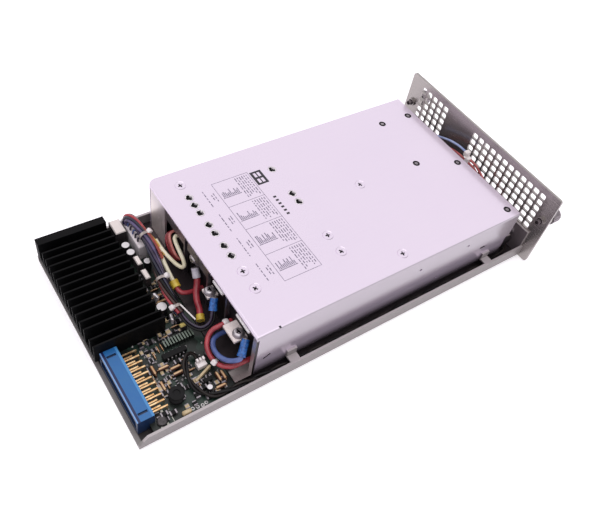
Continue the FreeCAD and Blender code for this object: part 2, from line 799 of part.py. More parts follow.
# Heat sink: a finned extrusion with a wide rail and two wide channels for its screws
def heat_sink():
    low = board_top
    floor = low + sink_base
    outline = [(sink_near, low), (sink_near, sink_top)]
    fins = sorted(side_fins + [first_fin + fin_pitch * k for k in range(fin_count)])
    for centre in fins[1:]:
        outline += [(outline[-1][0] + fin, sink_top), (outline[-1][0] + fin, floor)]
        outline += [(centre - fin / 2, floor), (centre - fin / 2, sink_top)]
    outline += [(outline[-1][0] + fin, sink_top), (outline[-1][0] + fin, floor)]
    outline += [(sink_rail, floor), (sink_rail, sink_top), (sink_far, sink_top), (sink_far, low)]
    shape = prism([Vector(-sink_rear, y, z) for y, z in outline], Vector(sink_rear - sink_front, 0, 0))
    through = (low - over, floor + over)
    return cut(shape, [rod_z(thread_radius + head_fit, x, y, through) for x, y in sink_screws()])


# Rear connector: a shrouded housing stepped over the board's edge, with two rows of bent contacts
def connector_housing():
    shape = block((-connector_rear, -connector_front), (connector_near, connector_far),
                  (connector_bottom, connector_top))
    step = block((-board_rear, -connector_front + over), (connector_near - over, connector_far + over),
                 (connector_bottom - over, board_top))
    cavity = block((-connector_rear - over, -connector_rear + cavity_depth),
                   (connector_near + connector_wall, connector_far - connector_wall),
                   (connector_bottom + connector_wall, connector_top - connector_wall))
    tools = [step, cavity]
    length, width = key_slot
    for y in (connector_near + key_inset, connector_far - key_inset):
        tools.append(block((key_x - length / 2, key_x + length / 2), (y - width / 2, y + width / 2),
                           (connector_top - key_depth, connector_top + over)))
    return cut(shape, tools)


def connector_contacts():
    shapes = []
    for k in range(contact_pairs):
        y = contact_first + k * contact_pitch
        shapes.append(bent_contact(y, contact_z, contact_reach))
        if k < contact_pairs - 1:
            shapes.append(bent_contact(y + contact_pitch / 2, contact_z - contact, contact_short))
    return shapes


def bent_contact(y, z, reach):
    rear = -connector_front
    half = contact / 2
    outline = [(rear, z), (rear + reach, z), (rear + reach, board_top), (rear + reach - contact, board_top),
               (rear + reach - contact, z - contact), (rear, z - contact)]
    return prism([Vector(x, y - half, height) for x, height in outline], Vector(0, contact, 0))


# Board components
def can(x, y, radius, top):
    shape = rod_z(radius, x, y, (board_top, top))
    return shape.makeFillet(can_edge, [e for e in shape.Edges if e.BoundBox.ZMin > top - slack])


def upright_block(place):
    shape = block(place[0], place[1], (board_top, place[2]))
    return shape.makeChamfer(block_edge, [e for e in shape.Edges if e.BoundBox.ZMin > place[2] - slack])


def chip(place):
    x, y, top = place
    body = block(x, y, (board_top + chip_lift, top))
    ends = (x[0] + chip_foot_inset, x[1] - chip_foot_inset)
    feet = [block(ends, (side, side + chip_foot), (board_top, board_top + chip_foot_height))
            for side in (y[0] - chip_foot, y[1])]
    return fused([body] + feet)


def axial(x, y, way):
    middle = Vector(x, y, board_top + axial_lift)
    half = way * (axial_length / 2)
    knee = way * (axial_length / 2 + axial_tail)
    drop = Vector(0, 0, axial_lift)
    lead = swept([middle - knee - drop, middle - knee, middle + knee, middle + knee - drop], axial_lead)[0]
    return rod(axial_radius, middle - half, middle + half).fuse(lead)


def resistor_row():
    shapes = []
    first, last = resistor_row_x
    for k in range(resistor_row_count):
        x = first + (last - first) * k / (resistor_row_count - 1)
        half = resistor_row_width / 2
        shapes.append(block((x - half, x + half), resistor_row_y, (board_top, resistor_row_top)))
    return shapes


def resistor_network():
    x, y, length, width, height, turn = network
    shape = block((-length / 2, length / 2), (-width / 2, width / 2), (0, height))
    shape.rotate(Vector(0, 0, 0), Vector(0, 0, 1), turn)
    return shape.translate(Vector(x, y, board_top))


# Clips between the near lip and the box
def side_clip(x):
    half = clip_width / 2
    plate = block((x - half, x + half), (near_lip, 0), (clip_z, clip_z + clip_sheet))
    upstand = block((x - half, x + half), (-clip_sheet, 0), (clip_z, clip_z + clip_upstand))
    return plate.fuse(upstand).removeSplitter()


def box_spacer(x, y):
    ring = rod_z(spacer_radius, x, y, (tray_sheet, box_lift))
    return ring.cut(rod_z(thread_radius + head_fit, x, y, (0, box_lift + over)))


def panel_screw(y):
    seat = panel_back - tray_sheet
    head = rod_x(pan_radius, (seat - pan_height, seat), y, panel_screw_z)
    return head.fuse(rod_x(thread_radius, (seat, panel_front), y, panel_screw_z))


# Inside the box
def power_board():
    shape = block((block_x + block_depth + power_board_edge, box_length - base_sheet - power_board_edge),
                  (base_near + base_sheet + power_board_edge, base_far - base_sheet - power_board_edge),
                  (power_board_low, power_board_low + board_sheet))
    through = (power_board_low - over, power_board_low + board_sheet + over)
    return cut(shape, [rod_z(thread_radius + head_fit, x, y, through) for x, y in box_fastenings()])


def power_board_posts():
    shapes = []
    for x, y in box_fastenings():
        post = rod_z(standoff_radius, x, y, (base_floor, power_board_low))
        shapes.append(post.cut(rod_z(thread_radius + thread_fit, x, y, (base_floor, power_board_low))))
    return shapes


def choke(seat):
    x, y = spots([front_choke_place], box_length)[0]
    ring = rod_z(choke_radius, x, y, (seat, seat + choke_height))
    ring = ring.makeFillet(choke_round, [e for e in ring.Edges if e.Length > choke_radius * math.pi])
    return ring.cut(rod_z(choke_bore, x, y, (seat - over, seat + choke_height + over)))


# Tie wraps round the middle of a run
def tie_wrap(route, run, radius, head_way):
    start = Vector(*route[run])
    end = Vector(*route[run + 1])
    middle = (start + end) * 0.5
    along = (end - start).normalize()
    half = along * (tie_width / 2)
    band = rod(radius + tie_band, middle - half, middle + half)
    way = (head_way - along * head_way.dot(along)).normalize()
    head = Part.makeBox(tie_head, tie_head, tie_head, Vector(-tie_head / 2, -tie_head / 2, 0))
    head.Placement = FreeCAD.Placement(Vector(0, 0, 0), FreeCAD.Rotation(along, Vector(0, 0, 0), way, "ZXY"))
    head.translate(middle + way * (radius + tie_band / 2))
    core = rod(radius + tie_fit, middle - along * tie_head, middle + along * tie_head)
    return fused([band, head]).cut(core)


# White crimp on the red loop, and the plug that joins the front leads
def crimp():
    y, z = loop_route[0][1:]
    return rod_x(crimp_radius, crimp_x, y, z).cut(rod_x(loop_radius + tie_fit, crimp_x, y, z))


def lead_plug():
    x = (box_length + front_plug_x[0], box_length + front_plug_x[1])
    return fused([block(x, (across(y[0]), across(y[1])), z) for y, z in plug_halves])


def sleeve(route, radius):
    start, end = moved(route)
    return rod(radius, Vector(*start), Vector(*end))


def build_sheet_metal():
    save("tray", tray())
    save("front_panel", front_panel())
    save("box_base", box_base())
    save("box_cover", box_cover())
    save("side_clips", [side_clip(clip_x), side_clip(box_length + front_clip_x)])
    save("box_spacers", [box_spacer(x, y) for x, y in box_fastenings()])


def build_fasteners():
    save("box_screws", [flush_screw(x, y, 0, 1, base_floor, head_radius) for x, y in box_fastenings()])
    save("panel_screws", [panel_screw(y) for y in panel_screw_ys])
    darks = [flush_screw(x, y, box_top, -1, flush_length, dark_head_radius) for x, y in dark_screws]
    save("converter_screws", darks)
    pales = [flush_screw(x, y, box_top, -1, flush_length, head_radius) for x, y in pale_screws]
    save("cover_screws", pales)
    save("cover_rivets", [cover_rivet(x, y) for x, y in cover_rivets])
    up = Vector(0, 0, 1)
    seats = [Vector(x, y, board_top) for x, y in near_standoffs]
    save("board_screws", [pan_screw(seat, up, board_screw_length) for seat in seats])
    seats = [Vector(x, y, board_top + sink_base) for x, y in sink_screws()]
    save("heat_sink_screws", [pan_screw(seat, up, sink_screw_length) for seat in seats])
    save("captive_sleeves", [captive_sleeve(y) for y in captive_ys.values()])
    for side, y in captive_ys.items():
        save(f"captive_screw_{side}", captive_screw(y))
        save(f"captive_clip_{side}", captive_clip(y))


def build_power_box():
    walls = [across(y) for y in converter_walls]
    for k, (near, far) in enumerate(zip(walls, walls[1:]), 1):
        save(f"converter_{k}", converter(near, far))
    next_walls = [flange_near] + brackets
    save("bay_brackets", [bay_bracket(*place) for place in zip(brackets, next_walls, wing_gaps)])
    save("terminal_blocks", terminal_blocks())
    save("output_bars", output_bars())
    heads = [(seat + out * lug_sheet, out) for seat, out, *barrel in lugs()]
    save("terminal_studs", [pan_screw(seat, out, terminal_screw_length) for seat, out in heads])
    save("ring_lugs", [ring_lug(*lug) for lug in lugs()])
    seat = power_board_low + board_sheet
    save("power_board", power_board())
    high = seat + bulk_height
    places = spots(front_capacitor_places, box_length)
    save("bulk_capacitors", [rod_z(bulk_radius, x, y, (seat, high)) for x, y in places])
    x, y = spots([front_transformer_place], box_length)[0]
    length, width, height = transformer_size
    ends = (x - length / 2, x + length / 2)
    save("transformer", block(ends, (y - width / 2, y + width / 2), (seat, seat + height)))
    save("filter_choke", choke(seat))


def build_control_board():
    save("control_board", control_board())
    save("board_standoffs", standoffs() + power_board_posts())
    save("heat_sink", heat_sink())
    save("connector_housing", connector_housing())
    save("connector_contacts", connector_contacts())
    save("capacitors", [can(x, across(y), radius, top) for x, y, radius, top in round_caps])
    save("film_capacitors", [upright_block(spread(place)) for place in film_caps])
    save("relay", upright_block(spread(relay_block)))
    save("wire_header", upright_block(spread(wire_header)))
    save("plug_header", upright_block(plug_header))
    save("chips", [chip(place) for place in chip_bodies])
    save("coil", can(*coil))
    save("resistor_network", resistor_network())
    save("resistor_row", resistor_row())
    resistors = [axial(x, across(y), Vector(1, 0, 0)) for x, y in axials_along_x]
    resistors += [axial(x, y, Vector(0, 1, 0)) for x, y in axials_along_y]
    save("axial_resistors", resistors)


def build_wiring():
    bundle = moved(bundle_route)
    loop = moved(loop_route)
    save("harness_bundle", tube("harness_bundle", bundle, bundle_radius))
    save("harness_tail", tube("harness_tail", moved(tail_route) + lug_run(1)[::-1], tail_radius))
    creams = [tube("cream_lead", moved(cream_route), cream_radius)]
    creams.append(tube("jumper_lead", moved(jumper_route), cream_radius))
    save("cream_leads", creams)
    reds = []
    for offset in red_offsets:
        route = [tuple(a + b for a, b in zip(point, offset)) for point in moved(red_route)]
        route[0] = (block_x, route[0][1], route[0][2])
        route[-1] = (block_x, route[-1][1], route[-1][2])
        reds.append(tube("red_leads", route, red_radius))
    reds.append(tube("cross_lead", moved(cross_route), cross_radius))
    save("red_leads", reds)
    save("feed_lead", tube("feed_lead", lug_run(2) + moved(feed_route), feed_radius))
    save("red_loop", tube("red_loop", loop, loop_radius))
    save("blue_loop", tube("blue_loop", lug_run(0) + moved(blue_route), loop_radius))
    cable = moved(cable_route) + moved(front_cable_route, box_length)
    save("black_cable", tube("black_cable", cable, cable_radius))
    save("front_lead_blue", tube("front_lead_blue", moved(front_blue_route, box_length), lead_radius))
    routes = [moved(route, box_length) for route in front_red_routes]
    save("front_leads_red", [tube("front_leads_red", route, lead_radius) for route in routes])
    save("white_sleeves", [crimp(), lead_plug()])
    save("yellow_sleeves", [sleeve(splice_route, splice_radius), sleeve(end_sleeve_route, end_sleeve_radius)])
    ties = [tie_wrap(bundle, 3, bundle_radius, Vector(1, 0, 1))]
    ties.append(tie_wrap(bundle, 6, bundle_radius, Vector(1, 0, 1)))
    ties.append(tie_wrap(bundle, 8, bundle_radius, Vector(-1, 0, 1)))
    ties.append(tie_wrap(loop, 5, loop_radius, Vector(-1, 0, 1)))
    save("tie_wraps", ties)


build_sheet_metal()
build_fasteners()
build_power_box()
build_control_board()
build_wiring()
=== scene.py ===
import math
import random
from functools import partial

import bmesh
import bpy
from mathutils import Matrix, Vector


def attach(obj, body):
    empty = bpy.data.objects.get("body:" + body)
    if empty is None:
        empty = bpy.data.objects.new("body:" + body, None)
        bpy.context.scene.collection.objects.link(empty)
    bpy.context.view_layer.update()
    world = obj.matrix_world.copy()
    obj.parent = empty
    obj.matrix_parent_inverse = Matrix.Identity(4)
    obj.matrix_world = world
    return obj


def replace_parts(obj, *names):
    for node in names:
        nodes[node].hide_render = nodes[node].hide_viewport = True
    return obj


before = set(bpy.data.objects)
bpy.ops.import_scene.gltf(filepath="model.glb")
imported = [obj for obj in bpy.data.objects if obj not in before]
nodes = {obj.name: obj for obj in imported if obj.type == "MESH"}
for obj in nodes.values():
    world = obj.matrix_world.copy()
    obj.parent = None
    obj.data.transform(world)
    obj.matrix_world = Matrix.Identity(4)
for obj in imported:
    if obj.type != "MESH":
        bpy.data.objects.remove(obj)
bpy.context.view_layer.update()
scene = bpy.context.scene
print("frame loaded", len(nodes), "nodes")

# Places are written in mm from the power box's rear near corner, as they were read off the photo.
boxCorner = Vector((78.3, 58.5, 0.0))
coverTop = 41.2
boardTop = 6.6
alongX, alongY, straightUp = Vector((1, 0, 0)), Vector((0, 1, 0)), Vector((0, 0, 1))
mergeReach = 1e-6  # points this near to each other become one
cutReach = 1e-7  # points this near to a cut lie on it
toSky, toRear, toNear, toFar = (0, 0, 1), (-1, 0, 0), (0, -1, 0), (0, 1, 0)  # ways in which a face looks


def spot(x, y, z):
    return (Vector((x, y, z)) - boxCorner) / 1000


def standAt(x, y, z):
    return Matrix.Translation(spot(x, y, z))


def linear(hexColour):
    parts = [int(hexColour[i:i + 2], 16) / 255 for i in (1, 3, 5)]
    return [c / 12.92 if c <= 0.04045 else ((c + 0.055) / 1.055) ** 2.4 for c in parts] + [1.0]


def addNode(tree, kind, inputs=None, **settings):
    node = tree.nodes.new("ShaderNode" + kind)
    for name, value in settings.items():
        setattr(node, name, value)
    for key, value in (inputs or {}).items():
        if isinstance(value, bpy.types.Node):  # a node stands for its first output in use
            value = next(output for output in value.outputs if output.enabled)
        if isinstance(value, bpy.types.NodeSocket):
            tree.links.new(value, node.inputs[key])
        else:
            node.inputs[key].default_value = value
    return node


# A finish function gets the material's own add and returns its shader.
def newMaterial(name, build, look):
    material = bpy.data.materials.new(name)
    material.use_nodes = True
    material.node_tree.nodes.clear()
    add = partial(addNode, material.node_tree)
    add("OutputMaterial", {"Surface": build(add, look)})
    return material


# Rolled sheet: fine lines along the rolling direction, soft clouds and a satin sheen.
def sheetFinish(add, look):
    coords = add("TexCoord").outputs["Object"]
    stretch = add("Mapping", {"Vector": coords, "Scale": [1000 / size for size in look["grainMm"]]})
    grain = add("TexNoise", {"Vector": stretch, "Scale": 1.0, "Detail": 4.0})
    cloud = add("TexNoise", {"Vector": coords, "Scale": 1000 / look["cloudMm"], "Detail": 3.0})
    both = add("Math", {0: grain, 1: cloud}, operation="MULTIPLY")
    fade = add("MapRange", {"Value": both, "From Min": 0.12, "From Max": 0.38})
    tone = add("Mix", {0: fade, 6: linear(look["shade"]), 7: linear(look["base"])}, data_type="RGBA")
    normal = add("NewGeometry").outputs["Normal"]
    place = add("SeparateXYZ", {0: coords})
    for colour, facing, axis, low, high, soft in look["patches"]:  # faces recoloured by facing and place: mostly painted shade and painted light
        turned = add("VectorMath", {0: normal, 1: facing}, operation="DOT_PRODUCT")
        faced = add("MapRange", {"Value": turned, "From Min": 0.5, "From Max": 0.7})
        along = place.outputs[axis]
        above = add("MapRange", {"Value": along, "From Min": (low - soft) / 1000, "From Max": (low + soft) / 1000})
        below = add("MapRange", {"Value": along, "From Min": (high + soft) / 1000, "From Max": (high - soft) / 1000})
        level = add("Math", {0: above, 1: below}, operation="MULTIPLY")
        share = add("Math", {0: faced, 1: level}, operation="MULTIPLY")
        tone = add("Mix", {0: share, 6: tone, 7: linear(colour)}, data_type="RGBA")
    sheen = add("MapRange", {"Value": grain, "From Min": 0.3, "From Max": 0.7, "To Min": look["rough"] - look["spread"],
                             "To Max": look["rough"] + look["spread"]})
    dent = add("Bump", {"Height": grain, "Strength": look["bump"], "Distance": 0.0001})
    return add("BsdfPrincipled", {"Base Color": tone, "Metallic": look["metallic"], "Roughness": sheen, "Normal": dent})


# Moulded plastic, wire jackets and sleeves: an even colour with faint mottling and a light skin texture.
def mouldedFinish(add, look):
    coords = add("TexCoord").outputs["Object"]
    mottle = add("TexNoise", {"Vector": coords, "Scale": 1000 / look["mottleMm"], "Detail": 2.0})
    fade = add("MapRange", {"Value": mottle, "From Min": 0.35, "From Max": 0.65})
    tone = add("Mix", {0: fade, 6: linear(look["shade"]), 7: linear(look["base"])}, data_type="RGBA")
    skin = add("TexNoise", {"Vector": coords, "Scale": 1000 / look["skinMm"], "Detail": 1.0})
    dent = add("Bump", {"Height": skin, "Strength": 0.08, "Distance": 0.0001})
    return add("BsdfPrincipled", {"Base Color": tone, "Roughness": look["rough"], "Normal": dent,
                                  "Specular IOR Level": look["gloss"]})


# Two tones parted by which way a face looks: tops take one colour, sides another.
def toppedFinish(add, look):
    coords = add("TexCoord").outputs["Object"]
    facing = add("SeparateXYZ", {0: add("NewGeometry").outputs["Normal"]})
    edge, full = look["flat"]
    flat = add("MapRange", {"Value": facing.outputs["Z"], "From Min": edge, "From Max": full})
    mottle = add("TexNoise", {"Vector": coords, "Scale": 1000 / look["mottleMm"], "Detail": 3.0})
    top = add("Mix", {0: mottle, 6: linear(look["topShade"]), 7: linear(look["top"])}, data_type="RGBA")
    if "near" in look:  # parts nearer than this in mm come in another colour
        colour, end = look["near"]
        place = add("SeparateXYZ", {0: coords})
        near = add("Math", {0: place.outputs["Y"], 1: end / 1000}, operation="LESS_THAN")
        top = add("Mix", {0: near, 6: top, 7: linear(colour)}, data_type="RGBA")
    tone = add("Mix", {0: flat, 6: linear(look["side"]), 7: top}, data_type="RGBA")
    return add("BsdfPrincipled", {"Base Color": tone, "Roughness": look["rough"], "Metallic": look["metallic"],
                                  "Specular IOR Level": look["gloss"]})


# Moulded connector: a banded blue top, with a pale rim and a paler front edge as painted highlights and a dark channel
# at the mouth side as painted shade; the sides painted dark as shade.
def connectorFinish(add, look):
    coords = add("TexCoord").outputs["Object"]
    facing = add("SeparateXYZ", {0: add("NewGeometry").outputs["Normal"]})
    place = add("SeparateXYZ", {0: coords})
    across = add("MapRange", {"Value": place.outputs["X"], "From Min": look["rear"] / 1000,
                              "From Max": look["front"] / 1000})
    bands = add("ValToRGB", {0: across})
    ramp = bands.color_ramp
    ramp.interpolation = "CONSTANT"
    for k, (share, colour) in enumerate(look["bands"]):
        stop = ramp.elements[k] if k < len(ramp.elements) else ramp.elements.new(share)
        stop.position = share
        stop.color = linear(colour)
    mottle = add("TexNoise", {"Vector": coords, "Scale": 1000 / look["wearMm"], "Detail": 3.0})
    worn = add("Mix", {0: mottle, 6: bands, 7: linear(look["wear"])}, data_type="RGBA", blend_type="SOFT_LIGHT")
    raised = add("Math", {0: place.outputs["Z"], 1: look["topAbove"] / 1000}, operation="GREATER_THAN")
    upward = add("Math", {0: facing.outputs["Z"], 1: raised}, operation="MULTIPLY", use_clamp=True)
    # Faces other than the raised top take the dark side colour: painted shade.
    tone = add("Mix", {0: upward, 6: linear(look["side"]), 7: worn}, data_type="RGBA")
    return add("BsdfPrincipled", {"Base Color": tone, "Roughness": look["rough"]})


# Etched board: solder mask with lighter tracks and a scatter of bright solder pads.
def boardFinish(add, look):
    coords = add("TexCoord").outputs["Object"]
    tracks = add("TexBrick", {"Vector": coords, "Scale": 1000 / look["trackMm"], "Mortar Size": 0.09,
                              "Mortar Smooth": 0.1, "Color1": (0, 0, 0, 1), "Color2": (0, 0, 0, 1),
                              "Mortar": (1, 1, 1, 1)}, offset=0.37)
    lay = add("TexNoise", {"Vector": coords, "Scale": 1000 / look["layMm"], "Detail": 1.0})
    strip = add("Math", {0: lay, 1: look["trackless"]}, operation="GREATER_THAN")
    shown = add("Math", {0: tracks, 1: strip}, operation="MULTIPLY")
    mask = add("Mix", {0: lay, 6: linear(look["dark"]), 7: linear(look["mask"])}, data_type="RGBA")
    traced = add("Mix", {0: shown, 6: mask, 7: linear(look["track"])}, data_type="RGBA")
    cells = add("TexVoronoi", {"Vector": coords, "Scale": 1000 / look["padMm"], "Randomness": 0.55})
    dot = add("Math", {0: cells, 1: look["padReach"]}, operation="LESS_THAN")
    picked = add("SeparateColor", {0: cells.outputs["Color"]})
    some = add("Math", {0: picked, 1: look["padless"]}, operation="GREATER_THAN")
    pad = add("Math", {0: dot, 1: some}, operation="MULTIPLY")
    tone = add("Mix", {0: pad, 6: traced, 7: linear(look["pad"])}, data_type="RGBA")
    return add("BsdfPrincipled", {"Base Color": tone, "Roughness": look["rough"], "Metallic": pad})


# Sheet and metal finishes. A patch is a colour, the way its faces look, an axis, and where along it the patch starts
# and ends and how softly, in mm.
sheetsUsual = {
    "metallic": 0.8, "rough": 0.4, "cloudMm": 4, "bump": 0.05, "spread": 0.05, "grainMm": (0.7, 0.7, 0.7),
    "patches": []}
sheets = {
    # passivated steel, a pale lilac satin on top; painted shade darkens the folded walls, more at their foot, and makes
    # up-facing faces at 14 to 26 mm nearly black
    "passivatedCover": {
        "base": "#E7DAEA", "shade": "#E5D8E9", "metallic": 0.6, "rough": 0.17, "bump": 0.002, "spread": 0.008,
        "grainMm": (14, 0.45, 0.45), "cloudMm": 60,
        "patches": [("#B7B0B8", toNear, "Z", 18, 60, 7), ("#B7B0B8", toFar, "Z", 18, 60, 7),
            ("#564E55", toNear, "Z", -9, 10, 4), ("#564E55", toFar, "Z", -9, 10, 4),
            ("#2A2629", toSky, "Z", 14, 26, 0.5)]},
    # the same steel, duller on the lips: painted highlight lightens the lip tops, painted shade darkens the floor (all
    # but a grey strip at the rear) and the rearward faces at the front end, and painted light whitens the near lip's
    # inner face
    "passivatedTray": {
        "base": "#958F8E", "shade": "#8B8584", "metallic": 0.25, "bump": 0.02, "spread": 0.02,
        "grainMm": (14, 0.45, 0.45), "cloudMm": 40,
        "patches": [("#2C2628", toSky, "Z", -9, 2.2, 0.2), ("#B2ABAB", toSky, "Z", 2.2, 60, 0.2),
            ("#878381", toSky, "X", -160, -145, 0.3), ("#6A6265", toRear, "X", 90, 190, 1),
            ("#EAE4E6", toFar, "Y", -90, -60, 0.3)]},
    # brushed panel: grey with fine lines across it
    "passivatedPanel": {
        "base": "#A7A19F", "shade": "#A39D9B", "metallic": 0.85, "rough": 0.27, "bump": 0.001, "spread": 0.004,
        "grainMm": (0.45, 14, 0.45), "cloudMm": 40},
    # galvanised base: light folded walls; painted shade darkens the floor, less towards the near end, and makes the
    # near-facing faces at the near end nearly black, while painted light whitens the rearward faces at the far side
    # below 28 mm
    "foldedBase": {
        "base": "#CFC5C8", "shade": "#BDB3B6", "metallic": 0.7, "rough": 0.32, "grainMm": (0.45, 0.45, 14),
        "cloudMm": 30,
        "patches": [("#453D40", toSky, "Z", -9, 6.2, 0.2), ("#B5ABA9", toSky, "Y", -90, -51, 0.5),
            ("#1E1A1C", toNear, "Y", -90, -50, 0.5), ("#FFF4EE", toRear, "Y", 40, 70, 0.5),
            ("#CFC5C8", toRear, "Z", 28, 60, 8)]},
    # dull zinc plate, darker than the screws' zinc; the darker tone is partly painted shade from inside the box
    "bracketZinc": {
        "base": "#8C8489", "shade": "#6F686D", "metallic": 0.85, "rough": 0.34, "bump": 0.06,
        "grainMm": (0.45, 0.45, 11), "cloudMm": 14},
    # bright zinc of the screws
    "screwZinc": {"base": "#D5CED2", "shade": "#B2ABB0", "metallic": 0.85, "rough": 0.3},
    # polished zinc of the flush heads
    "brightZinc": {"base": "#F2ECF0", "shade": "#DAD3D8", "metallic": 0.6, "rough": 0.26, "bump": 0.03},
    # grey steel of the screws that hold the board
    "dullSteel": {"base": "#565153", "shade": "#383436", "cloudMm": 3},
    # turned steel with rings from the tool; faces that look rearward painted nearly black as shade
    "turnedKnob": {
        "base": "#9B9297", "shade": "#7E767B", "metallic": 0.9, "rough": 0.3, "grainMm": (0.33, 3.3, 3.3), "cloudMm": 8,
        "patches": [("#2A2326", toRear, "Z", -9, 90, 0.2)]},
    # oil-blackened steel, nearly matt; it also paints the shade in the rivets' sunk rings
    "blackSteelAndShade": {"base": "#3A3439", "shade": "#262126", "metallic": 0.6, "rough": 0.42, "cloudMm": 3},
    # thin gold over copper, rosy where it has worn
    "goldContact": {
        "base": "#FBDDB0", "shade": "#C48A50", "metallic": 0.9, "rough": 0.26, "bump": 0.03, "grainMm": (2, 0.4, 0.4),
        "cloudMm": 3},
    # tinned copper, dull and warm, with whiter strips at the cover's edge
    "tinnedBar": {
        "base": "#FBF0EB", "shade": "#E9DDD8", "metallic": 0.1, "rough": 0.5, "grainMm": (1.1, 1.1, 5), "cloudMm": 12,
        "patches": [("#FFFDFC", toSky, "Z", 30, 60, 0.2), ("#FFFDFC", toRear, "Z", 30, 60, 0.2)]},
    # pressed tin of the lugs
    "tinnedLug": {"base": "#A79FA5", "shade": "#857E84", "rough": 0.36, "grainMm": (1.1, 1.1, 1.1)},
    # drawn aluminium cans of the converters
    "converterCase": {"base": "#8E898C", "shade": "#777276", "grainMm": (14, 0.45, 0.45), "cloudMm": 20},
    # enamelled copper wire, dark amber with fine turns
    "windingCopper": {"base": "#6B4A38", "shade": "#3A2A22", "metallic": 0.5, "bump": 0.1, "grainMm": (3.3, 3.3, 0.33)},
    # solder and tin, small bright dots
    "solderTin": {"base": "#C9C5C5", "shade": "#989395", "metallic": 0.85, "rough": 0.3, "cloudMm": 2},
}
# Plastics, jackets and inks: two close tones, so no surface is quite even. A row is the base and shade colours,
# roughness, mottling in mm and gloss, as far as it differs from the usual.
mouldingsUsual = {"rough": 0.36, "mottleMm": 6, "gloss": 0.5, "skinMm": 0.25}
mouldings = {
    "blackPlastic": ("#0F0D10", "#09080A", 0.5, 5, 0.2),  # black nylon
    "recessShade": ("#0A090B", "#060507", 0.6, 2, 0.2),  # painted shade in the screws' recesses
    "whitePlastic": ("#EFEAE8", "#E0D9D6", 0.45, 4),  # white nylon
    "nylonBand": ("#B9AFA8", "#8F857F", 0.4, 2),  # thin nylon, wire shows through
    "creamJacket": ("#EFE9CF", "#DED6B6", 0.38),  # soft PVC, as are the jackets below
    "redJacket": ("#AE4149", "#8A2A34", 0.22),
    "thinRedJacket": ("#A8453F", "#7E2A2C", 0.36, 5),
    "orangeJacket": ("#C4703C", "#9C4E28", 0.36, 5),
    "yellowJacket": ("#D9B65E", "#B8923C", 0.36, 5),
    "blueJacket": ("#5A6CA2", "#445486", 0.22),
    "paleBlueJacket": ("#A3B1D2", "#8090BC", 0.3),
    "roseJacket": ("#B8615F", "#96403F", 0.36, 5),
    "blackJacket": ("#100D10", "#0A080A", 0.46, 6, 0.25),
    "umberJacket": ("#1F1714", "#150F0D", 0.44, 6, 0.3),
    "pinkJacket": ("#C98078", "#A85A54", 0.36, 5),
    "violetJacket": ("#3C3049", "#281F33", 0.2),
    "lilacJacket": ("#655A80", "#423958", 0.2),
    "navyJacket": ("#1C1B36", "#131226", 0.22),
    "brownJacket": ("#4A2824", "#381D1A", 0.24),
    "yellowSleeve": ("#D8BE4A", "#B99A2E", 0.4, 3),  # shrunk sleeve
    "lugBlue": ("#3470BC", "#163F7C", 0.24, 1.6),  # glossy vinyl of the lugs
    "lugGrey": ("#C9C6CE", "#B0ACB6", 0.36, 3),
    "networkBeige": ("#C6B38D", "#A8946E", 0.4, 3),  # dipped ceramic
    "transformerTape": ("#B79A4B", "#9D8238", 0.5, 8),  # polyester tape
    "paleInk": ("#5E5769", "#9A91A4", 0.5, 0.8),  # thin grey print, broken up
    "blackInkAndShade": ("#1E1A22", "#2A2530", 0.5, 2),  # full black print, and the fold's slit painted black as shade
    "boardInk": ("#D8D8CC", "#B9BAAC", 0.5, 2),  # white legend of the board
}
mouldings = {name: dict(zip(("base", "shade", "rough", "mottleMm", "gloss"), row)) for name, row in mouldings.items()}
# Parts whose tops catch the light in another colour than their sides.
toppedUsual = {"rough": 0.42, "metallic": 0.0, "mottleMm": 3, "gloss": 0.5, "flat": (0.55, 0.8)}
topped = {
    # black anodised aluminium, nearly matt; the fin tops painted a little lighter as highlight
    "blackAnodised": {
        "top": "#121113", "topShade": "#070608", "side": "#030304", "rough": 0.6, "mottleMm": 6, "gloss": 0.1},
    # cans: bright end, dark shrunk sleeve
    "canTop": {"top": "#EDEAEA", "topShade": "#D8D4D5", "side": "#1C1A1E", "rough": 0.36, "metallic": 0.1},
    # film capacitors in pale epoxy with shaded sides, and a yellow one by the harness
    "filmBlock": {"top": "#F8F0EA", "topShade": "#EADFD8", "side": "#3B3436", "near": ("#EFDB80", 0)},
    # upright dark resistors, their greenish tops painted lighter as highlight
    "rowResistor": {"top": "#7F8C7E", "topShade": "#4E5A50", "side": "#141B17", "mottleMm": 2},
    # lacquered resistors, cream where the light strikes and brown below
    "lacqueredBody": {
        "top": "#EBD0A6", "topShade": "#B07A42", "side": "#4A2614", "rough": 0.4, "mottleMm": 5, "flat": (0.8, 0.98)},
    # relay in pale moulded plastic, its sides painted dark as shade
    "relayCase": {"top": "#E9E2DC", "topShade": "#D9D0C9", "side": "#2C282A", "mottleMm": 5},
    # natural nylon header, milky, its sides painted a little darker as shade
    "headerShell": {"top": "#EDE6E6", "topShade": "#DDD5D6", "side": "#DDD6D8", "mottleMm": 5},
}
connectors = {"connectorBlue": {
    "rear": -144.8, "front": -135.3, "topAbove": 13.7, "side": "#10294C", "wear": "#86A8C4", "wearMm": 5, "rough": 0.34,
    "bands": [(0.0, "#7FA3D0"), (0.07, "#0B1C48"), (0.21, "#27699D"), (0.86, "#4C8CBC")]}}
boards = {"solderMask": {
    "mask": "#0C1A13", "dark": "#030604", "track": "#1A2F26", "pad": "#94886E", "trackMm": 3.2, "padMm": 2.4,
    "layMm": 9, "trackless": 0.5, "padReach": 0.17, "padless": 0.62, "rough": 0.34}}
finishes = {}
for build, usual, looks in ((sheetFinish, sheetsUsual, sheets), (mouldedFinish, mouldingsUsual, mouldings),
                            (toppedFinish, toppedUsual, topped), (connectorFinish, {}, connectors),
                            (boardFinish, {}, boards)):
    finishes.update({name: newMaterial(name, build, {**usual, **look}) for name, look in looks.items()})
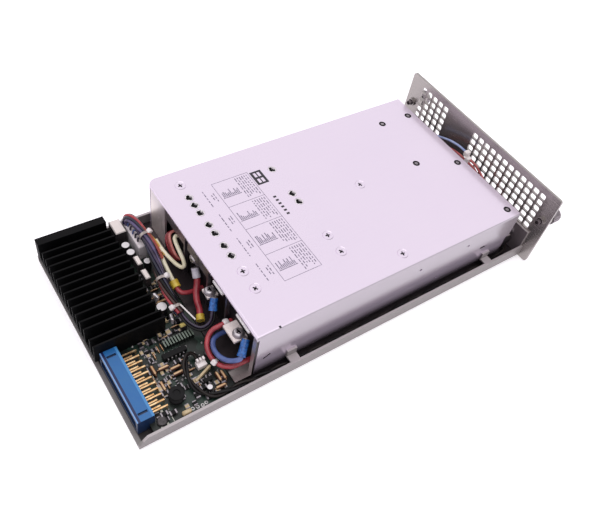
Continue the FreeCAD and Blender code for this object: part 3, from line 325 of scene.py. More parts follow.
# The nodes that take each finish.
nodeGroups = {
    "passivatedTray": "tray side_clips",
    "passivatedPanel": "front_panel captive_clip_near captive_clip_far captive_sleeves",
    "passivatedCover": "box_cover",
    "foldedBase": "box_base",
    "bracketZinc": "bay_brackets",
    "screwZinc": "box_screws panel_screws cover_screws cover_rivets terminal_studs box_spacers board_standoffs",
    "blackSteelAndShade": "converter_screws",
    "dullSteel": "board_screws heat_sink_screws",
    "turnedKnob": "captive_screw_near captive_screw_far",
    "blackAnodised": "heat_sink",
    "connectorBlue": "connector_housing",
    "goldContact": "connector_contacts",
    "solderMask": "control_board power_board",
    "tinnedBar": "output_bars",
    "tinnedLug": "ring_lugs",
    "blackPlastic": "terminal_blocks chips coil",
    "relayCase": "relay",
    "networkBeige": "resistor_network",
    "windingCopper": "filter_choke",
    "whitePlastic": "tie_wraps white_sleeves plug_header",
    "headerShell": "wire_header",
    "filmBlock": "film_capacitors",
    "canTop": "capacitors bulk_capacitors",
    "lacqueredBody": "axial_resistors",
    "rowResistor": "resistor_row",
    "converterCase": "converter_1 converter_2 converter_3 converter_4",
    "transformerTape": "transformer",
    "violetJacket": "harness_bundle harness_tail",
    "creamJacket": "cream_leads",
    "thinRedJacket": "red_leads",
    "redJacket": "feed_lead red_loop",
    "blueJacket": "blue_loop",
    "blackJacket": "black_cable",
    "paleBlueJacket": "front_lead_blue",
    "roseJacket": "front_leads_red",
    "yellowSleeve": "yellow_sleeves",
}
for finish, names in nodeGroups.items():
    for name in names.split():
        nodes[name].data.materials.clear()
        nodes[name].data.materials.append(finishes[finish])
print("finishes set", len(finishes))


def placePiece(name, data, slotName, *layers):
    piece = bpy.data.objects.new(name, data)
    scene.collection.objects.link(piece)
    for layer in layers:
        data.materials.append(finishes[layer])
    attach(piece, "module")
    return piece


def newPiece(name, bm, finish, slotName, *more):
    mesh = bpy.data.meshes.new(name)
    bmesh.ops.recalc_face_normals(bm, faces=bm.faces[:])
    bm.to_mesh(mesh)
    bm.free()
    return placePiece(name, mesh, slotName, finish, *more)


def partsOf(wholes, kind):
    return list(dict.fromkeys(part for whole in wholes for part in getattr(whole, kind)))


def ofKind(parts, kind):
    return [part for part in parts if isinstance(part, kind)]


def addCube(bm, place, size):
    grown = Matrix.Diagonal([side / 1000 for side in size] + [1])
    return bmesh.ops.create_cube(bm, size=1.0, matrix=place @ grown)["verts"]


def addBlock(bm, place, size, edge):
    edges = partsOf(addCube(bm, place, size), "link_edges")
    bmesh.ops.bevel(bm, geom=edges, offset=edge / 1000, affect="EDGES", segments=2, profile=0.5, material=-1)


def addSpun(bm, profile, start, axis, steps=24):
    side = axis.orthogonal().normalized()
    verts = [bm.verts.new(start + axis * (along / 1000) + side * (radius / 1000)) for radius, along in profile]
    if profile[0][0] > 0:  # a ring closes on itself, a turned piece closes at its poles
        verts.append(verts[0])
    edges = [bm.edges.new(pair) for pair in zip(verts, verts[1:])]
    before = len(bm.verts)
    bmesh.ops.spin(bm, geom=edges, cent=start, axis=axis, angle=2 * math.pi, steps=steps, use_merge=True)
    bm.verts.ensure_lookup_table()
    spun = list(dict.fromkeys(verts + bm.verts[before:]))
    bmesh.ops.remove_doubles(bm, verts=spun, dist=mergeReach)


# Printed rules, rows of dashes and plain marks on the cover, and a black field of painted shade at the fold's slit.
printLook = {
    "lift": 0.03, "line": 0.3, "frame": (33.0, 58.0, 25.0, 107.0), "dividers": (86.0, 66.5, 45.3), "rows": 6,
    "rowInset": (1.6, 1.4), "ragged": (1.2, 4.0), "rowStep": 1.6, "rowWidth": 0.6, "dash": (0.9, 3.4), "gap": 0.9,
    "marks": 11, "markStart": 1.8, "markStep": 1.05, "markWidth": 0.6, "markFoot": -2.4, "markHeight": (1.6, 6.4),
    "baseLine": ((1.2, 13.6), (-3.3, -2.8)), "notes": [(30.4, 3.6), (28.8, 2.6), (25.2, 7.4)],
    "badge": [((58.9, 60.6), (94.2, 105.8)), ((62.4, 63.2), (94.2, 105.8)), ((65.0, 66.7), (94.2, 105.8))],
    "uprights": [(94.2, 95.6), (99.2, 100.8), (104.4, 105.8)], "bars": [(60.6, 62.4), (63.2, 65.0)],
    "dots": ((61.6, 63.6), (81.0, 82.4)), "dotStep": 3.0, "dotCount": 6, "relief": ((14.0, 15.2), (0.3, 1.7))}


def addField(bm, x, y, z=coverTop + printLook["lift"]):
    middle = standAt((x[0] + x[1]) / 2, (y[0] + y[1]) / 2, z)
    size = Matrix.Diagonal(((x[1] - x[0]) / 1000, (y[1] - y[0]) / 1000, 1, 1))
    made = bmesh.ops.create_grid(bm, x_segments=1, y_segments=1, size=0.5, matrix=middle @ size)["verts"]
    bmesh.ops.solidify(bm, geom=partsOf(made, "link_faces"), thickness=printLook["lift"] / 1000)


def dashRow(bm, x, far, near):
    half = printLook["rowWidth"] / 2
    while far - printLook["dash"][0] > near:
        length = min(random.uniform(*printLook["dash"]), far - near)
        addField(bm, (x - half, x + half), (far - length, far))
        far -= length + printLook["gap"]


def printedFields():
    rules = bmesh.new()
    half = printLook["line"] / 2
    x0, x1, y0, y1 = printLook["frame"]
    for x in (x0, x1):
        addField(rules, (x - half, x + half), (y0 - half, y1 + half))
    for y in (y0, y1) + printLook["dividers"]:
        addField(rules, (x0 + half, x1 - half), (y - half, y + half))
    newPiece("cover_rules", rules, "paleInk", "cover_metal")
    rows = bmesh.new()
    random.seed(4)
    ends = (y1,) + printLook["dividers"] + (y0,)
    inset, indent = printLook["rowInset"]
    along, across = printLook["baseLine"]
    for far, near in zip(ends, ends[1:]):
        for k in range(printLook["rows"]):  # dashed rows at the front of each cell
            x = x1 - inset - k * printLook["rowStep"]
            dashRow(rows, x, far - indent, near + random.uniform(*printLook["ragged"]))
        middle = (far + near) / 2
        foot = middle + printLook["markFoot"]
        for k in range(printLook["marks"]):  # uneven marks on a base line
            x = x0 + printLook["markStart"] + k * printLook["markStep"]
            addField(rows, (x, x + printLook["markWidth"]), (foot, foot + random.uniform(*printLook["markHeight"])))
        addField(rows, [x0 + shift for shift in along], [middle + shift for shift in across])
        for x, reach in printLook["notes"]:
            dashRow(rows, x, middle + reach, middle - reach)
    newPiece("cover_print", rows, "paleInk", "cover_metal")
    badge = bmesh.new()
    for x, y in printLook["badge"]:
        addField(badge, x, y)
    for y in printLook["uprights"]:
        for x in printLook["bars"]:
            addField(badge, x, y)
    x, y = printLook["dots"]
    for k in range(printLook["dotCount"]):
        addField(badge, x, [end - k * printLook["dotStep"] for end in y])
    addField(badge, *printLook["relief"])  # painted shade: a black field for the dark slit at the fold's relief
    newPiece("cover_badge", badge, "blackInkAndShade", "cover_metal")


printedFields()
print("print laid on the cover")

# Screws with a pressed cross recess: flush ones in the cover, pan heads at the terminals. A screw's loops are its
# radius and its depth under the head's top.
screwMake = {
    "rimSteps": 24, "starSteps": 12, "taper": (0.7, 0.7, 1), "lit": Vector((0.9, 0.3, 0)), "litShare": 0.6,
    "turn": (0, 1.5)}
darkScrews = {
    "loops": [(2.6, 0), (2.75, 0.3), (1.5, 1.3), (1.5, 6.0)], "recess": 2.25, "waist": 0.8, "depth": 1.1,
    "places": [(16.1, y) for y in (103.0, 96.3, 89.5, 79.1, 72.1, 61.8, 53.7)]
    + [(74.0, y) for y in (102.7, 79.3, 71.9)]}
paleScrews = {
    "loops": [(3.05, 0), (3.3, 0.35), (1.5, 1.3), (1.5, 6.0)], "recess": 1.6, "waist": 0.45, "depth": 0.8,
    "places": [(16.1, y) for y in (114.2, 41.3, 28.2)] + [(74.0, y) for y in (41.5, 27.9)]
    + [(117.7, 67.2), (106.0, 9.8)]}
panScrews = {
    "loops": [(1.9, 0), (2.5, 0.35), (2.8, 0.9), (2.8, 1.9), (1.5, 1.9), (1.5, 6.9)], "recess": 1.5, "waist": 0.45,
    "depth": 0.9,
    "places": [((-0.6, 15.5, 28.7), straightUp), ((-0.6, 46.9, 28.7), straightUp), ((0.3, 70.4, 28.2), -alongX)]}


def loopOf(bm, segments, radius, matrix):
    made = bmesh.ops.create_circle(bm, segments=segments, radius=radius / 1000, matrix=matrix)["verts"]
    return made, partsOf(made, "link_edges")


def addScrew(bm, look, place, turn):
    rims = []
    for radius, drop in look["loops"]:
        level = place @ Matrix.Translation((0, 0, -drop / 1000))
        rims.append(loopOf(bm, screwMake["rimSteps"], radius, level)[1])
    starVerts, star = loopOf(bm, screwMake["starSteps"], look["recess"], place @ Matrix.Rotation(turn, 4, "Z"))
    for vert in starVerts[1::3]:  # pull every third point in to make the cross
        vert.co = place.translation.lerp(vert.co, look["waist"])
    bmesh.ops.bridge_loops(bm, edges=rims[0] + star)
    sunk = bmesh.ops.extrude_edge_only(bm, edges=star)["geom"]
    floorVerts = ofKind(sunk, bmesh.types.BMVert)
    floorEdges = ofKind(sunk, bmesh.types.BMEdge)
    bmesh.ops.translate(bm, verts=floorVerts, vec=place.to_3x3() @ Vector((0, 0, -look["depth"] / 1000)))
    bmesh.ops.scale(bm, verts=floorVerts, vec=screwMake["taper"], space=place.inverted())
    sunk += bmesh.ops.edgeloop_fill(bm, edges=floorEdges)["faces"]
    # Recess walls turned from the light, and the recess floor, take the second finish: painted shade.
    for face in ofKind(sunk, bmesh.types.BMFace):  # the wall that looks at the light stays bright
        away = (face.calc_center_median() - place.translation).normalized()
        face.material_index = 0 if away.dot(screwMake["lit"]) > screwMake["litShare"] else 1
    for upper, lower in zip(rims, rims[1:]):
        bmesh.ops.bridge_loops(bm, edges=upper + lower)
    bmesh.ops.edgeloop_fill(bm, edges=rims[-1])


def screwSet(name, look, places, finish, node):
    bm = bmesh.new()
    random.seed(7)
    for place in places:
        addScrew(bm, look, place, random.uniform(*screwMake["turn"]))
    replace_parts(newPiece(name, bm, finish, "screw_steel", "recessShade"), node)


def onCover(look):
    return [standAt(x, y, coverTop) for x, y in look["places"]]


screwSet("dark_flush_screws", darkScrews, onCover(darkScrews), "brightZinc", "converter_screws")
screwSet("pale_flush_screws", paleScrews, onCover(paleScrews), "passivatedCover", "cover_screws")
seats = [standAt(*place) @ out.to_track_quat("Z", "Y").to_matrix().to_4x4() for place, out in panScrews["places"]]
screwSet("terminal_screws", panScrews, seats, "screwZinc", "terminal_studs")
print("screws made")

# The harness: single wires twisted together along the bundle's route.
bundle = {
    "route": [(-16.1, 121.0, 17.5), (-16.1, 121.0, 22.6), (-14.4, 114.6, 25.0), (-13.4, 107.0, 23.8),
        (-12.9, 98.0, 22.4), (-14.6, 88.0, 21.4), (-17.0, 76.5, 20.2), (-18.4, 66.0, 18.8), (-18.9, 56.0, 17.4),
        (-18.4, 47.6, 15.8)], "radius": 0.92, "ring": 2.0, "turns": -1.0, "start": 2.3,
    "jackets": "red navy lilac violet navy black brown".split(), "core": "black"}
tail = {
    "route": [(-18.4, 47.6, 15.8), (-18.15, 43.4, 15.0), (-15.8, 38.2, 13.8), (-12.4, 34.6, 13.3), (-8.6, 33.6, 15.0),
        (-5.4, 34.4, 18.2), (-4.46, 36.32, 21.58), (-3.5, 37.7, 23.0)], "radius": 0.82, "ring": 0.96, "turns": 0.3,
    "start": 0.2, "jackets": "violet black brown".split(), "core": None}
cable = {
    "route": [(-21.4, 19.5, 9.4), (-21.4, 22.4, 9.4), (-23.6, 25.0, 11.6), (-27.6, 23.8, 13.2), (-30.8, 18.4, 12.4),
        (-32.2, 11.4, 10.8), (-31.4, 5.8, 9.6), (-28.8, 1.2, 8.8), (-24.6, -2.4, 8.6), (-17.6, -3.5, 8.5),
        (-8.6, -3.3, 8.4), (8.0, -3.0, 4.6), (36.0, -2.8, 3.5), (80.0, -3.2, 3.5), (126.0, -2.8, 3.5),
        (166.0, -3.2, 3.5), (188.0, -2.8, 3.6), (200.0, -2.2, 4.2), (205.2, 3.2, 5.2), (205.4, 12.0, 7.4)],
    "radius": 0.88, "ring": 0.88, "turns": 11.0, "start": 0.0, "jackets": "black umber".split(), "core": None}
wireMake = {"steps": 10, "roundness": 4}


def routeCurve(name, route):
    curve = bpy.data.curves.new(name, "CURVE")
    curve.dimensions = "3D"
    spline = curve.splines.new("NURBS")
    spline.points.add(len(route) - 1)
    for point, place in zip(spline.points, route):
        point.co = (*place, 1)
    spline.order_u = 3
    spline.use_endpoint_u = True
    spline.resolution_u = wireMake["steps"]
    return curve


def routePoints(route):
    guide = bpy.data.objects.new("guide", routeCurve("guide", [spot(*p) for p in route]))
    mesh = bpy.data.meshes.new_from_object(guide)
    points = [vert.co.copy() for vert in mesh.vertices]
    bpy.data.objects.remove(guide)
    return points


def strandPiece(name, points, radius, jacket, slotName):
    curve = routeCurve(name, points)
    curve.bevel_depth = radius / 1000
    curve.bevel_resolution = wireMake["roundness"]
    curve.use_fill_caps = True
    return placePiece(name, curve, slotName, jacket + "Jacket")


def twistedStrands(name, look, node, slotName):
    points = routePoints(look["route"])
    side = alongX
    frames = []
    for k, point in enumerate(points):
        tangent = (points[min(k + 1, len(points) - 1)] - points[max(k - 1, 0)]).normalized()
        side = (side - tangent * side.dot(tangent)).normalized()
        frames.append((point, side.copy(), tangent.cross(side)))
    runs = [0.0]
    for point, following in zip(points, points[1:]):
        runs.append(runs[-1] + (following - point).length)
    count = len(look["jackets"])
    made = []
    for strand, jacket in enumerate(look["jackets"]):
        path = []
        for run, (point, across, up) in zip(runs, frames):
            angle = 2 * math.pi * (strand / count + look["turns"] * run / runs[-1]) + look["start"]
            path.append(point + (across * math.cos(angle) + up * math.sin(angle)) * look["ring"] / 1000)
        made.append(strandPiece(f"{name}_{strand + 1}", path, look["radius"], jacket, slotName))
    if look["core"]:
        made.append(strandPiece(f"{name}_core", points, look["radius"], look["core"], slotName))
    for piece in made:
        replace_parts(piece, node)


twistedStrands("bundle_wire", bundle, "harness_bundle", "bundle_violet")
twistedStrands("tail_wire", tail, "harness_tail", "bundle_violet")
twistedStrands("cable_wire", cable, "black_cable", "black_wire")

# Loose wires: thin ones that leave the bundle at its first tie, the red leads and the cross lead beside them, and the
# ones that come up out of the header's ways.
looseWires = {
    "radius": 0.6, "redRadius": 0.8, "crossRadius": 1.4,
    "fan": [("yellow", [(-11.6, 106.5, 24.4), (-10.4, 101.0, 24.2), (-9.2, 95.0, 23.0), (-8.5, 90.5, 21.8),
                (-8.4, 86.0, 20.2)]),
        ("orange", [(-12.2, 108.5, 25.2), (-11.0, 103.0, 25.2), (-10.0, 97.0, 23.8), (-9.8, 91.0, 21.6),
                (-10.0, 85.0, 19.4)]),
        ("thinRed", [(-13.2, 111.0, 26.2), (-12.0, 104.0, 26.2), (-10.9, 97.5, 24.6), (-10.7, 91.0, 22.4),
                (-11.0, 84.0, 20.2)])],
    "reds": [("thinRed", (0.0, 0.0, 0.0)), ("red", (0.0, 2.6, -3.0)), ("pink", (0.0, -1.9, 2.6))],
    "redRoute": [(3.0, 96.5, 25.0), (-0.6, 96.5, 25.0), (-2.8, 93.0, 23.8), (-3.2, 88.6, 20.8), (-2.8, 85.2, 17.4),
        (-0.8, 82.8, 14.2), (3.0, 82.8, 14.2)],
    "crossRoute": [(-11.3, 65.4, 14.54), (-11.3, 63.4, 13.9), (-9.6, 61.4, 13.0), (-6.0, 60.6, 12.4),
        (-1.6, 60.4, 12.2), (3.0, 60.4, 12.2)],
    "ways": [("blue", 118.0), ("violet", 114.6), ("blue", 111.2), ("navy", 107.8), ("violet", 104.4)],
    "rise": [(-16.8, 0.0, 17.0), (-16.8, 0.0, 20.0), (-16.0, -1.4, 22.0), (-14.2, -4.0, 23.0)]}


def layLooseWires():
    for k, (jacket, route) in enumerate(looseWires["fan"]):
        strandPiece(f"fan_wire_{k + 1}", [spot(*p) for p in route], looseWires["radius"], jacket, "cream_wire")
    for k, (jacket, shift) in enumerate(looseWires["reds"]):
        route = [spot(*(Vector(p) + Vector(shift))) for p in looseWires["redRoute"]]
        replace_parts(strandPiece(f"red_wire_{k + 1}", route, looseWires["redRadius"], jacket, "red_wire"), "red_leads")
    route = [spot(*p) for p in looseWires["crossRoute"]]
    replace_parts(strandPiece("cross_wire", route, looseWires["crossRadius"], "red", "red_wire"), "red_leads")
    for k, (jacket, y) in enumerate(looseWires["ways"]):
        route = [spot(px, y + py, pz) for px, py, pz in looseWires["rise"]]
        strandPiece(f"header_wire_{k + 1}", route, looseWires["radius"], jacket, "bundle_violet")


layLooseWires()
print("harness twisted")

# Sleeves pressed over the ring lugs' barrels. The flare and the end are counted from the barrel's end.
lugSleeves = {
    "bore": 2.02, "radius": 2.25, "flare": 2.45, "start": 0.3, "flareFrom": 1.2, "flareFull": 0.6, "past": 0.9,
    "lugs": [((0.9, 10.2, 27.2), (-4.8, 4.8, 23.0), "lugBlue"), ((-0.7, 41.7, 27.2), (-3.5, 37.7, 23.0), "lugBlue"),
        ((0.8, 66.8, 24.8), (0.2, 63.4, 21.0), "lugGrey")]}


def sleeveLugs():
    bore, radius, flare = lugSleeves["bore"], lugSleeves["radius"], lugSleeves["flare"]
    low = lugSleeves["start"]
    for k, (start, end, finish) in enumerate(lugSleeves["lugs"]):
        bm = bmesh.new()
        way = spot(*end) - spot(*start)
        length = way.length * 1000
        high = length + lugSleeves["past"]
        profile = [(bore, low), (radius, low), (radius, length - lugSleeves["flareFrom"]),
                   (flare, length - lugSleeves["flareFull"]), (flare, high), (bore, high)]
        addSpun(bm, profile, spot(*start), way.normalized())
        newPiece(f"lug_sleeve_{k + 1}", bm, finish, "blue_wire")


sleeveLugs()
print("lug sleeves made")

# Cover rivets: a grey centre in a sunk ring painted dark as shade.
rivetLook = {
    "profile": [(0.0, 41.18), (1.15, 41.18), (1.3, 40.7), (2.0, 40.7), (2.2, 41.2), (2.2, 39.6), (3.4, 39.6),
        (3.4, 38.4), (0.0, 38.4)], "ring": (1.16, 2.3, 40.0),
    "places": [(192.3, 108.2), (192.3, 55.0), (192.3, 7.0), (169.0, 108.6), (165.0, 66.7)]}


def coverRivets():
    bm = bmesh.new()
    for x, y in rivetLook["places"]:
        addSpun(bm, rivetLook["profile"], spot(x, y, 0), straightUp)
    inner, outer, low = rivetLook["ring"]
    for face in bm.faces:
        middle = face.calc_center_median() * 1000 + boxCorner
        reach = min((middle.xy - Vector(place)).length for place in rivetLook["places"])
        face.material_index = 1 if inner < reach < outer and middle.z > low else 0
    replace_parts(newPiece("ringed_rivets", bm, "tinnedLug", "screw_steel", "blackSteelAndShade"), "cover_rivets")


coverRivets()
print("rivets made")

# Nylon ties: a thin band, a small locking head and the cut end of the strap.
redLoop = [(-16.4, 15.8, 13.4), (-14.2, 9.2, 13.0)]
tieLook = {
    "band": 0.4, "width": 1.7, "head": (3.0, 2.8, 2.4), "stub": (1.5, 0.7, 2.0), "edge": 0.6, "steps": 32,
    "strap": ((-16.6, 51.0, 19.4), (-12.7, 40.3, 15.7)), "strapSize": (0.9, 0.6), "cutEdge": 0.2,
    "ties": [(bundle["route"][3:5], 3.0, (1, 0, 1)), (bundle["route"][6:8], 3.0, (1, 0, 1)),
        (bundle["route"][8:10], 3.0, (-1, 0, 1)), (redLoop, 1.4, (-1, 0, 1))]}


def nylonTies():
    bm = bmesh.new()
    half = tieLook["width"] / 2
    for (start, end), radius, out in tieLook["ties"]:
        along = (Vector(end) - Vector(start)).normalized()
        outer = radius + tieLook["band"]
        ring = [(radius, -half), (outer, -half), (outer, half), (radius, half)]
        addSpun(bm, ring, (spot(*start) + spot(*end)) / 2, along, tieLook["steps"])
    for face in bm.faces:
        face.material_index = 1
    for (start, end), radius, out in tieLook["ties"]:
        along = (Vector(end) - Vector(start)).normalized()
        way = (Vector(out) - along * along.dot(Vector(out))).normalized()
        turn = Matrix((along, along.cross(way) * -1, way)).transposed().to_4x4()
        seat = Matrix.Translation((spot(*start) + spot(*end)) / 2) @ turn
        lift = (radius + tieLook["head"][2] / 2) / 1000
        addBlock(bm, seat @ Matrix.Translation((0, 0, lift)), tieLook["head"], tieLook["edge"])
        side = tieLook["head"][1] / 2000
        addBlock(bm, seat @ Matrix.Translation((0, side, lift)), tieLook["stub"], tieLook["cutEdge"])
    start, end = (spot(*point) for point in tieLook["strap"])  # the third tie's strap, left long
    way = end - start
    turn = way.to_track_quat("X", "Z").to_matrix().to_4x4()
    addBlock(bm, Matrix.Translation((start + end) / 2) @ turn, (way.length * 1000,) + tieLook["strapSize"],
             tieLook["cutEdge"])
    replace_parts(newPiece("nylon_ties", bm, "whitePlastic", "white_plastic", "nylonBand"), "tie_wraps")


nylonTies()
print("ties made")

# Wound coil: two flanges on a core, with turns of wire between them.
coilLook = {
    "place": (-41.6, 6.8), "radius": 4.2, "flange": 0.9, "turns": 6, "height": 5.8, "sunk": 0.5, "wire": (0.7, 0.3),
    "rim": 0.3, "dish": (2.0, 1.8), "steps": 40}


def woundCoil():
    bm = bmesh.new()
    reach, height, flange, rim = (coilLook[key] for key in ("radius", "height", "flange", "rim"))
    between, crown = (reach - deep for deep in coilLook["wire"])
    mouth, dished = coilLook["dish"]
    profile = [(0.0, 0.0), (reach, 0.0), (reach, flange)]
    pitch = (height - 2 * flange) / coilLook["turns"]
    for k in range(coilLook["turns"]):
        profile += [(between, flange + pitch * k), (crown, flange + pitch * (k + 0.5))]
    profile += [(between, height - flange), (reach, height - flange), (reach, height - rim), (reach - rim, height),
                (mouth, height), (dished, height - coilLook["sunk"]), (0.0, height - coilLook["sunk"])]
    addSpun(bm, profile, spot(*coilLook["place"], boardTop), straightUp, coilLook["steps"])
    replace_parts(newPiece("wound_coil", bm, "blackPlastic", "black_plastic"), "coil")


woundCoil()
print("coil made")

# Chips on legs: a moulded body with a row of tinned legs down each long side.
chipBodies = {
    "inset": 1.1, "edge": 0.35, "lift": 0.9, "pitch": 2.3, "leg": (0.7, 0.9), "legEdge": 0.12, "clear": 0.4,
    "ends": 1.0, "bend": 0.2, "chips": [((-38.0, -23.4), (27.6, 33.2), 10.2), ((-25.4, -20.2), (5.0, 9.6), 9.8)]}


def leadedChips():
    bm = bmesh.new()
    inset, pitch, bend = (chipBodies[key] for key in ("inset", "pitch", "bend"))
    low = boardTop + chipBodies["lift"]
    for (x0, x1), (y0, y1), top in chipBodies["chips"]:
        size = (x1 - x0 - chipBodies["clear"], y1 - y0 - 2 * inset, top - low)
        addBlock(bm, standAt((x0 + x1) / 2, (y0 + y1) / 2, (low + top) / 2), size, chipBodies["edge"])
    before = len(bm.faces)
    for (x0, x1), (y0, y1), top in chipBodies["chips"]:
        count = int((x1 - x0 - chipBodies["ends"]) / pitch)
        high = (low + top) / 2 + bend
        size = chipBodies["leg"] + (high - boardTop,)
        for k in range(count):
            x = (x0 + x1) / 2 + (k - (count - 1) / 2) * pitch
            for y in (y0 + inset - bend, y1 - inset + bend):
                addBlock(bm, standAt(x, y, (boardTop + high) / 2), size, chipBodies["legEdge"])
    bm.faces.ensure_lookup_table()
    for face in bm.faces[before:]:
        face.material_index = 1
    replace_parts(newPiece("leaded_chips", bm, "blackPlastic", "black_plastic", "solderTin"), "chips")


leadedChips()
print("chips made")

# Drawn metal cans that stand between the sink and the harness, as size, place and turn about the vertical, and a
# dipped capacitor at the board's near edge.
canLook = {
    "edge": 0.5, "cans": [((1.6, 4.4, 5.6), (-23.2, 67.6), 0.3), ((1.6, 4.4, 5.2), (-22.0, 50.6), -0.2)],
    "dipped": ((5.4, 2.3, 2.8), (-41.0, -3.6)), "dippedEdge": 0.8}


def metalCans():
    bm = bmesh.new()
    for size, (x, y), turn in canLook["cans"]:
        place = standAt(x, y, boardTop + size[2] / 2) @ Matrix.Rotation(turn, 4, "Z")
        addBlock(bm, place, size, canLook["edge"])
    newPiece("metal_cans", bm, "brightZinc", "screw_steel")
    bm = bmesh.new()
    size, (x, y) = canLook["dipped"]
    addBlock(bm, standAt(x, y, boardTop + size[2] / 2), size, canLook["dippedEdge"])
    newPiece("dipped_capacitor", bm, "networkBeige", "resistor_body")


metalCans()
print("cans made")

# White ball pressed on the red loop, and the two-part plug of the front leads.
ballLook = {
    "place": (-0.7, 28.0, 20.2),
    "profile": [(1.45, -1.7), (2.0, -1.5), (2.32, -0.9), (2.4, 0.0), (2.32, 0.9), (2.0, 1.5), (1.45, 1.7)]}
plugLook = {"x": (202.8, 206.8), "halves": [((57.2, 60.4), (39.8, 43.2)), ((54.6, 57.8), (35.4, 39.8))], "edge": 0.4}


def whitePieces():
    bm = bmesh.new()
    addSpun(bm, ballLook["profile"], spot(*ballLook["place"]), alongX)
    x0, x1 = plugLook["x"]
    for (y0, y1), (z0, z1) in plugLook["halves"]:
        place = standAt((x0 + x1) / 2, (y0 + y1) / 2, (z0 + z1) / 2)
        addBlock(bm, place, (x1 - x0, y1 - y0, z1 - z0), plugLook["edge"])
    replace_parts(newPiece("ball_and_plug", bm, "whitePlastic", "white_plastic"), "white_sleeves")


whitePieces()
print("white pieces made")

# Small parts that fill the control board: chips with tinned ends, resistors, solder joints, pad rings and white marks.
chipLook = {
    "sizes": [(2.0, 1.25, 0.6), (3.2, 1.6, 0.9), (2.6, 2.2, 1.3), (3.8, 2.4, 1.9)], "end": 0.3, "pale": 0.3,
    "zones": [((-47.0, -26.0), (8.0, 26.5), 36), ((-30.0, -13.0), (-0.5, 11.0), 14), ((-57.0, -46.5), (-4.2, 3.6), 5),
        ((-46.0, -20.0), (40.5, 46.0), 14), ((-26.5, -12.5), (48.0, 88.0), 18), ((-40.0, -26.0), (-3.6, 6.0), 7),
        ((-47.0, -38.5), (27.0, 42.0), 12)]}
jointLook = {
    "profile": [(0.0, 0.0), (0.75, 0.0), (0.45, 0.3), (0.2, 0.62), (0.0, 0.66)], "loose": 54, "perChips": 80,
    "looseSteps": 8, "steps": 10,
    "places": [(-37.0, 43.9), (-40.6, 43.6), (-48.1, 46.1), (-22.7, 32.5), (-18.8, 23.9), (-13.8, 30.4), (-23.2, 26.3),
        (-20.4, 26.4)]}
beadLook = {
    "profile": [(0.0, -2.6), (0.2, -2.6), (0.2, -1.8), (0.55, -1.7), (0.68, -1.3), (0.52, -0.9), (0.52, 0.9),
        (0.68, 1.3), (0.55, 1.7), (0.2, 1.8), (0.2, 2.6), (0.0, 2.6)], "lift": 0.75, "steps": 10,
    "alongX": [(-29.0, 25.4), (-27.4, 17.6), (-29.6, 42.8), (-22.4, 46.6), (-20.8, 74.6), (-16.4, 80.2)],
    "alongY": [(-42.2, 14.8), (-47.2, 20.4), (-40.6, 34.6), (-37.2, 37.4), (-34.8, 37.6), (-27.6, 8.2)]}
padRings = {
    "profile": [(0.5, 0.0), (1.0, 0.0), (1.0, 0.04), (0.5, 0.04)], "steps": 16,
    "places": [(-37.1, -2.7), (-34.4, -3.1), (-31.7, -3.4), (-29.4, -3.0)]}
boardMarks = [
    ((-55.8, -54.6), (-5.0, -3.6)), ((-52.4, -51.3), (-4.9, -3.3)), ((-56.6, -54.2), (-1.2, -0.7)),
    ((-52.8, -50.4), (-1.1, -0.6)), ((-54.8, -53.2), (3.8, 4.2)), ((-52.2, -51.0), (3.2, 4.4)),
    ((-48.6, -48.2), (-4.4, 2.0)), ((-30.0, -24.0), (12.6, 12.9)), ((-46.8, -46.4), (9.0, 25.0))]


def addChip(bm, x, y, size, turn):
    place = standAt(x, y, boardTop) @ Matrix.Rotation(turn, 4, "Z")
    made = addCube(bm, place @ Matrix.Translation((0, 0, size[2] / 1000 / 2)), size)
    way = place.to_3x3() @ alongX
    end = chipLook["end"] * (size[0] / 1000)
    parts = made + partsOf(made, "link_edges") + partsOf(made, "link_faces")
    for cut in (-end, end):  # part off the tinned ends
        cutAt = place @ Vector((cut, 0, 0))
        parts = bmesh.ops.bisect_plane(bm, geom=parts, dist=cutReach, plane_co=cutAt, plane_no=way)["geom"]
    for face in ofKind(parts, bmesh.types.BMFace):
        offset = (face.calc_center_median() - place.translation).dot(way)
        face.material_index = 1 if abs(offset) > end else 0


def fillBoard():
    random.seed(11)
    dark, pale, joints, beads, rings, marks = (bmesh.new() for k in range(6))
    for x, y, count in chipLook["zones"]:
        for k in range(count):
            place = (random.uniform(*x), random.uniform(*y))
            turn = random.choice((0, math.pi / 2))
            kind = pale if random.random() < chipLook["pale"] else dark
            addChip(kind, *place, random.choice(chipLook["sizes"]), turn)
        for k in range(jointLook["loose"] * count // jointLook["perChips"]):
            place = spot(random.uniform(*x), random.uniform(*y), boardTop)
            addSpun(joints, jointLook["profile"], place, straightUp, jointLook["looseSteps"])
    for x, y in jointLook["places"]:
        addSpun(joints, jointLook["profile"], spot(x, y, boardTop), straightUp, jointLook["steps"])
    for way, key in ((alongX, "alongX"), (alongY, "alongY")):
        for x, y in beadLook[key]:
            place = spot(x, y, boardTop + beadLook["lift"])
            addSpun(beads, beadLook["profile"], place, way, beadLook["steps"])
    for x, y in padRings["places"]:
        addSpun(rings, padRings["profile"], spot(x, y, boardTop), straightUp, padRings["steps"])
    for x, y in boardMarks:
        addField(marks, x, y, boardTop + printLook["lift"])
    newPiece("small_resistors", beads, "lacqueredBody", "resistor_body")
    newPiece("chip_resistors", dark, "blackPlastic", "black_plastic", "tinnedLug")
    newPiece("chip_capacitors", pale, "networkBeige", "resistor_body", "tinnedLug")
    newPiece("solder_joints", joints, "solderTin", "screw_steel")
    newPiece("pad_rings", rings, "solderTin", "screw_steel")
    newPiece("board_marks", marks, "boardInk", "board_green")


fillBoard()
print("board filled")

# Plug header with three fingers along its far edge.
combLook = {
    "x": (-24.0, -18.6), "y": (15.5, 19.5), "z": (6.6, 12.4), "step": 9.6, "fingers": 3, "share": 0.62, "deep": 1.7}


